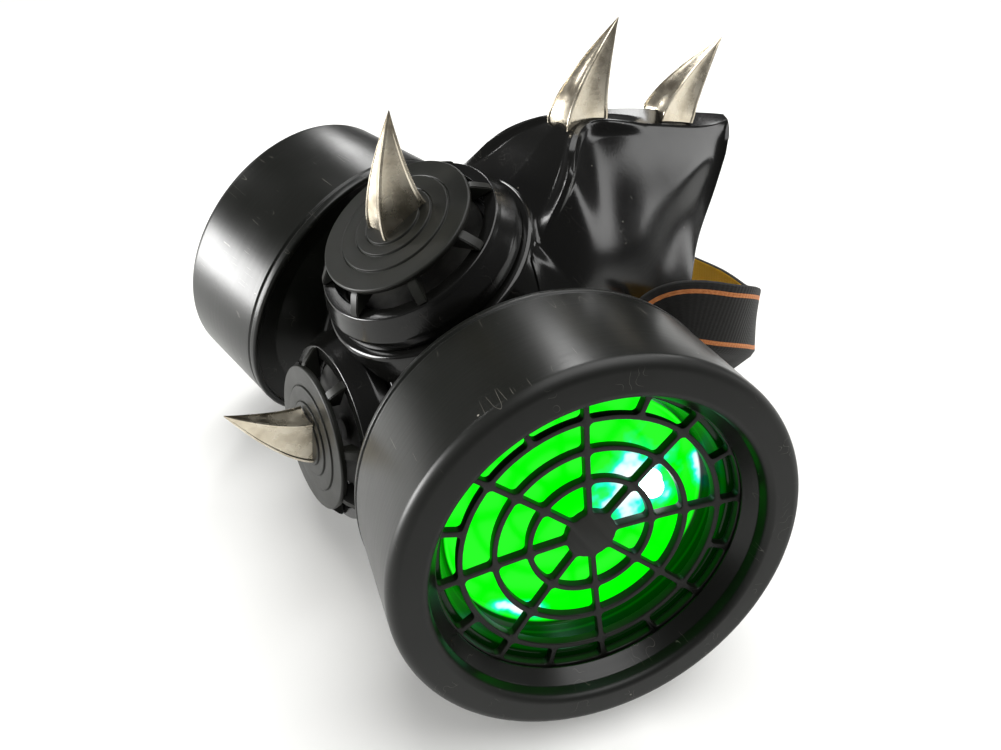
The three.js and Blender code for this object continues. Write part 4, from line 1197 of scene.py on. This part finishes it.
def clawSpike(sink):
    s = spike
    ups = [k / 26 for k in range(27)]
    known = [level[0] for level in s["levels"]]
    sizes = np.interp(ups, known, [level[1] for level in s["levels"]])
    for _ in range(3):
        sizes[1:-1] += 0.25 * (sizes[:-2] - 2 * sizes[1:-1] + sizes[2:])
    points, faces = [], []
    if sink:
        ups, sizes = [-sink / s["height"]] + ups, np.concatenate([[sizes[0]], sizes])
    for up, size in zip(ups, sizes):
        lean = s["lean"] * max(up, 0) ** 1.5
        section = spikeSection(size)
        points += [(x * size * s["width"] / 2, y * size * s["length"] / 2 + lean, up * s["height"]) for x, y in section]
    count = len(spikeSection(1))
    for i in range(len(ups) - 1):
        for k in range(count):
            n = (k + 1) % count
            faces.append((i * count + k, i * count + n, (i + 1) * count + n, (i + 1) * count + k))
    faces.append(list(range(count))[::-1])
    faces.append([(len(ups) - 1) * count + k for k in range(count)])
    mesh = meshOf("spike", points, faces)
    return finishMesh(mesh, 28)


def crestFrame(height):
    crest = shellGrid()[:, (shell["across"]["panel"] + sum(shell["across"][k] for k in ("cheek", "side", "lip")))]
    i = int(np.argmax(crest[:, 1] < height))
    share = (crest[i - 1][1] - height) / (crest[i - 1][1] - crest[i][1])
    point = crest[i - 1] + (crest[i] - crest[i - 1]) * share
    along = Vector(crest[i - 6] - crest[i + 5])
    return frameAt(point, Vector((1, 0, 0)).cross(along))


def addSpikes():
    for end in ("front", "chin"):
        place = valveFrames[end] @ Matrix.Translation((0, spike["offset"], capTop))
        addPiece("spike_" + end + "_cap", clawSpike(0), place, nickel, "cast_nickel", "spike_valve_" + end)
    for end, height in spike["noseHeights"].items():
        addPiece("spike_" + end + "_nose", clawSpike(spike["sink"]), crestFrame(height), nickel, "cast_nickel",
                 "spike_nose_" + end)


# Head strap: the band's stations, as the CAD lays them
def bandStations():
    b = band
    lying = Matrix.Translation((0, 0, maskPlace["standHeight"])) @ Matrix.Rotation(maskPlace["tilt"], 4, "X")
    upwards = Vector((0, 0, 1))
    free = [Vector((x * b["reach"], y * b["reach"], z * maskPlace["standHeight"])) for x, y, z, _ in b["route"]]

    def tail(side, target):
        seat = lying @ rivetFrames[side]
        out = Vector([seat[k][2] for k in range(3)])
        place = seat.translation + out * (b["thickness"] / 2 + b["standoff"])
        along = target - place
        along = (along - out * along.dot(out)).normalized()
        wide = out.cross(along)
        if wide.z < 0:
            wide = -wide
        return [(place + along * distance, wide) for distance in (-b["tail"], 0, b["flat"])]

    controls = tail("right", free[0])
    for i, point in enumerate(free):
        before = controls[2][0] if i == 0 else free[i - 1]
        after = free[min(i + 1, len(free) - 1)]
        out = (after - before).cross(upwards).normalized()
        controls.append((point, (upwards - out * b["route"][i][3]).normalized()))
    controls += tail("left", free[-1])[::-1]
    shares = [i / b["steps"] for i in range(b["steps"] + 1)]
    places = curvePoints([c[0] for c in controls], shares)
    tangents = np.gradient(places, axis=0)
    stations = []
    last = len(controls) - 1
    for i, share in enumerate(shares):
        low = min(int(share * last), last - 1)
        along = Vector(tangents[i]).normalized()
        wide = controls[low][1].lerp(controls[low + 1][1], share * last - low)
        wide = (wide - along * wide.dot(along)).normalized()
        stations.append((Vector(places[i]), wide, along.cross(wide).normalized()))
    return stations


def headStrap():
    b = band
    stations = bandStations()
    lengths = [0]
    for (p, _, _), (q, _, _) in zip(stations, stations[1:]):
        lengths.append(lengths[-1] + (q - p).length)
    half, thick, edge = b["width"] / 2, b["thickness"] / 2, 0.45
    # the section runs across one face, round the selvedge and back across the other
    faceSteps = 16
    faceAcross = [-half + edge + (b["width"] - 2 * edge) * k / faceSteps for k in range(faceSteps + 1)]
    section = [(w, thick, w + half) for w in faceAcross]
    section += [(half - edge * 0.25, thick * 0.7, b["width"]), (half, 0, b["width"]),
                (half - edge * 0.25, -thick * 0.7, b["width"] + 1)]
    section += [(w, -thick, b["width"] + 30 - (w + half)) for w in faceAcross[::-1]]
    section += [(-half + edge * 0.25, -thick * 0.7, b["width"] + 30), (-half, 0, 0),
                (-half + edge * 0.25, thick * 0.7, 0)]
    # section entries: across, out and the flat pattern's own coordinate
    points, faces = [], []
    crease = b["curlFrom"] - half
    for place, wide, out in stations:
        curled = wide * math.cos(b["curl"]) + out * math.sin(b["curl"])
        curledOut = out * math.cos(b["curl"]) - wide * math.sin(b["curl"])
        for w, t, _ in section:
            low = min(w - crease, 0)
            share = min(max((crease - w) / 1.5 + 0.5, 0), 1)
            across = wide * max(w, crease) + curled * low
            points.append(tuple(place + across + (out * (1 - share) + curledOut * share).normalized() * t))
    count = len(section)
    for i in range(len(stations) - 1):
        for k in range(count):
            n = (k + 1) % count
            faces.append((i * count + k, i * count + n, (i + 1) * count + n, (i + 1) * count + k))
    faces.append(list(range(count))[::-1])
    faces.append([(len(stations) - 1) * count + k for k in range(count)])
    mesh = meshOf("strap", points, faces)
    work = bmesh.new()
    work.from_mesh(mesh)
    bmesh.ops.recalc_face_normals(work, faces=work.faces)
    work.to_mesh(mesh)
    work.free()
    flat = mesh.uv_layers.new(name="bandFlat")
    for loop in mesh.loops:
        i, k = divmod(loop.vertex_index, count)
        flat.data[loop.index].uv = (lengths[i], section[k][2])
    mesh.shade_smooth()
    mesh.set_sharp_from_angle(angle=50 * degree)
    # the stations are in the lying frame already, not in the mask's tilted one
    unlying = Matrix.Rotation(-maskPlace["tilt"], 4, "X") @ Matrix.Translation((0, 0, -maskPlace["standHeight"]))
    strap = addPiece("strap_webbing_band", mesh, unlying, webbing, "strap_webbing", "head_strap")
    print("strap", round(lengths[-1], 1), "mm long")
    return strap


def strapRivet(side):
    under = band["standoff"] + band["thickness"] + clearance
    outline = filleted([
        (0, -shell["wall"], 0), (rivet["hole"], -shell["wall"], 0.2), (rivet["hole"], under, 0),
        (rivet["radius"], under, 0.3), (rivet["radius"], under + 0.8, 0.5), (rivet["radius"] - 1.4, under + 1.7, 1.2),
        (0, under + 1.8, 0),
    ], closed=False)
    mesh = finishMesh(turned("rivet", outline, 48, closed=False), 35)
    return addPiece("rivet_head_" + side, mesh, rivetFrames[side], satinBlack, "satin_black", "strap_rivet_" + side)


glossBlack = glossAbs("polishedBlackAbs")
canisterBlack = rubbedAbs("rubbedBlackAbs")
satinBlack = satinAbs("satinBlackAbs")
cageBlack = glossAbs("polishedCageAbs", roughness=0.2, scratches=0.3)
# the grille's black base is tinted green as painted light from the lit bowl
grilleGlowTinted = satinAbs("grilleGlowTintedAbs", base="#0c0e0b", roughness=0.4)
lampClear = lampEpoxy("clearLampEpoxy")
flapBlack = flapRubber("blackFlapRubber")
nickel = platedNickel("polishedNickelPlate")
webbing = wovenElastic("wovenBlackElastic")
print("materials made")

faceShell()
print("face shell made")
for side in ("right", "left"):
    canisterHousing(side)
    canisterBezel(side)
    canisterGrille(side)
    lightReflector(side)
    ledLamp(side)
    strapRivet(side)
print("canisters made")
for end in ("front", "chin"):
    valveCap(end)
    valveHousing(end)
    valveFlap(end)
print("valves made")
addSpikes()
print("spikes made")
headStrap()
print("strap made")


# Table, world and lights
studio = {
    "floorHalf": 1.6,
    "aim": (0, 0, 0.05),
    "worldColour": "#ffffff",
    "worldStrength": 0.16,
    "lightColour": "#fffffe",
    # name: way to it (degrees from the nose's direction towards the right canister, and up), distance, width, height
    # and how bright it is
    "lights": {
        "topBox": (20, 74, 1.25, 1.3, 1.1, 4.5),
        "farWindow": (-60, 36, 1.2, 0.16, 0.42, 14),
        "farLamp": (-8, 35, 1.2, 0.22, 0.2, 12),
        "smallLamp": (-115, 35, 1.2, 0.1, 0.1, 22),
        "warmBand": (22, 16, 1.2, 0.16, 0.6, 4),
        "sideWindow": (-150, 6, 1.3, 0.5, 0.62, 34),
    },
}


def addStudio():
    half = studio["floorHalf"]
    work = bmesh.new()
    bmesh.ops.create_grid(work, x_segments=8, y_segments=8, size=half)
    mesh = bpy.data.meshes.new("tableTop")
    work.to_mesh(mesh)
    work.free()
    mesh.materials.append(paleLaminate("mattPaleLaminate"))
    table = bpy.data.objects.new("tableTop", mesh)
    bpy.context.scene.collection.objects.link(table)
    world = bpy.data.worlds.new("studioWorld")
    bpy.context.scene.world = world
    world.use_nodes = True
    background = world.node_tree.nodes["Background"]
    background.inputs["Color"].default_value = linear(studio["worldColour"])
    background.inputs["Strength"].default_value = studio["worldStrength"]
    aim = Vector(studio["aim"])
    for name, (round, up, distance, width, height, radiance) in studio["lights"].items():
        data = bpy.data.lights.new(name, "AREA")
        data.shape = "RECTANGLE"
        data.size, data.size_y, data.energy = width, height, radiance * math.pi * width * height
        data.color = linear(studio["lightColour"])[:3]
        lightObject = bpy.data.objects.new(name, data)
        bpy.context.scene.collection.objects.link(lightObject)
        turn, lift = round * degree, up * degree
        way = Vector((math.sin(turn) * math.cos(lift), math.cos(turn) * math.cos(lift), math.sin(lift)))
        lightObject.location = aim + way * distance
        lightObject.rotation_euler = (-way).to_track_quat("-Z", "Y").to_euler()
    bpy.context.scene.view_settings.view_transform = "Standard"


addStudio()
print("studio lit")
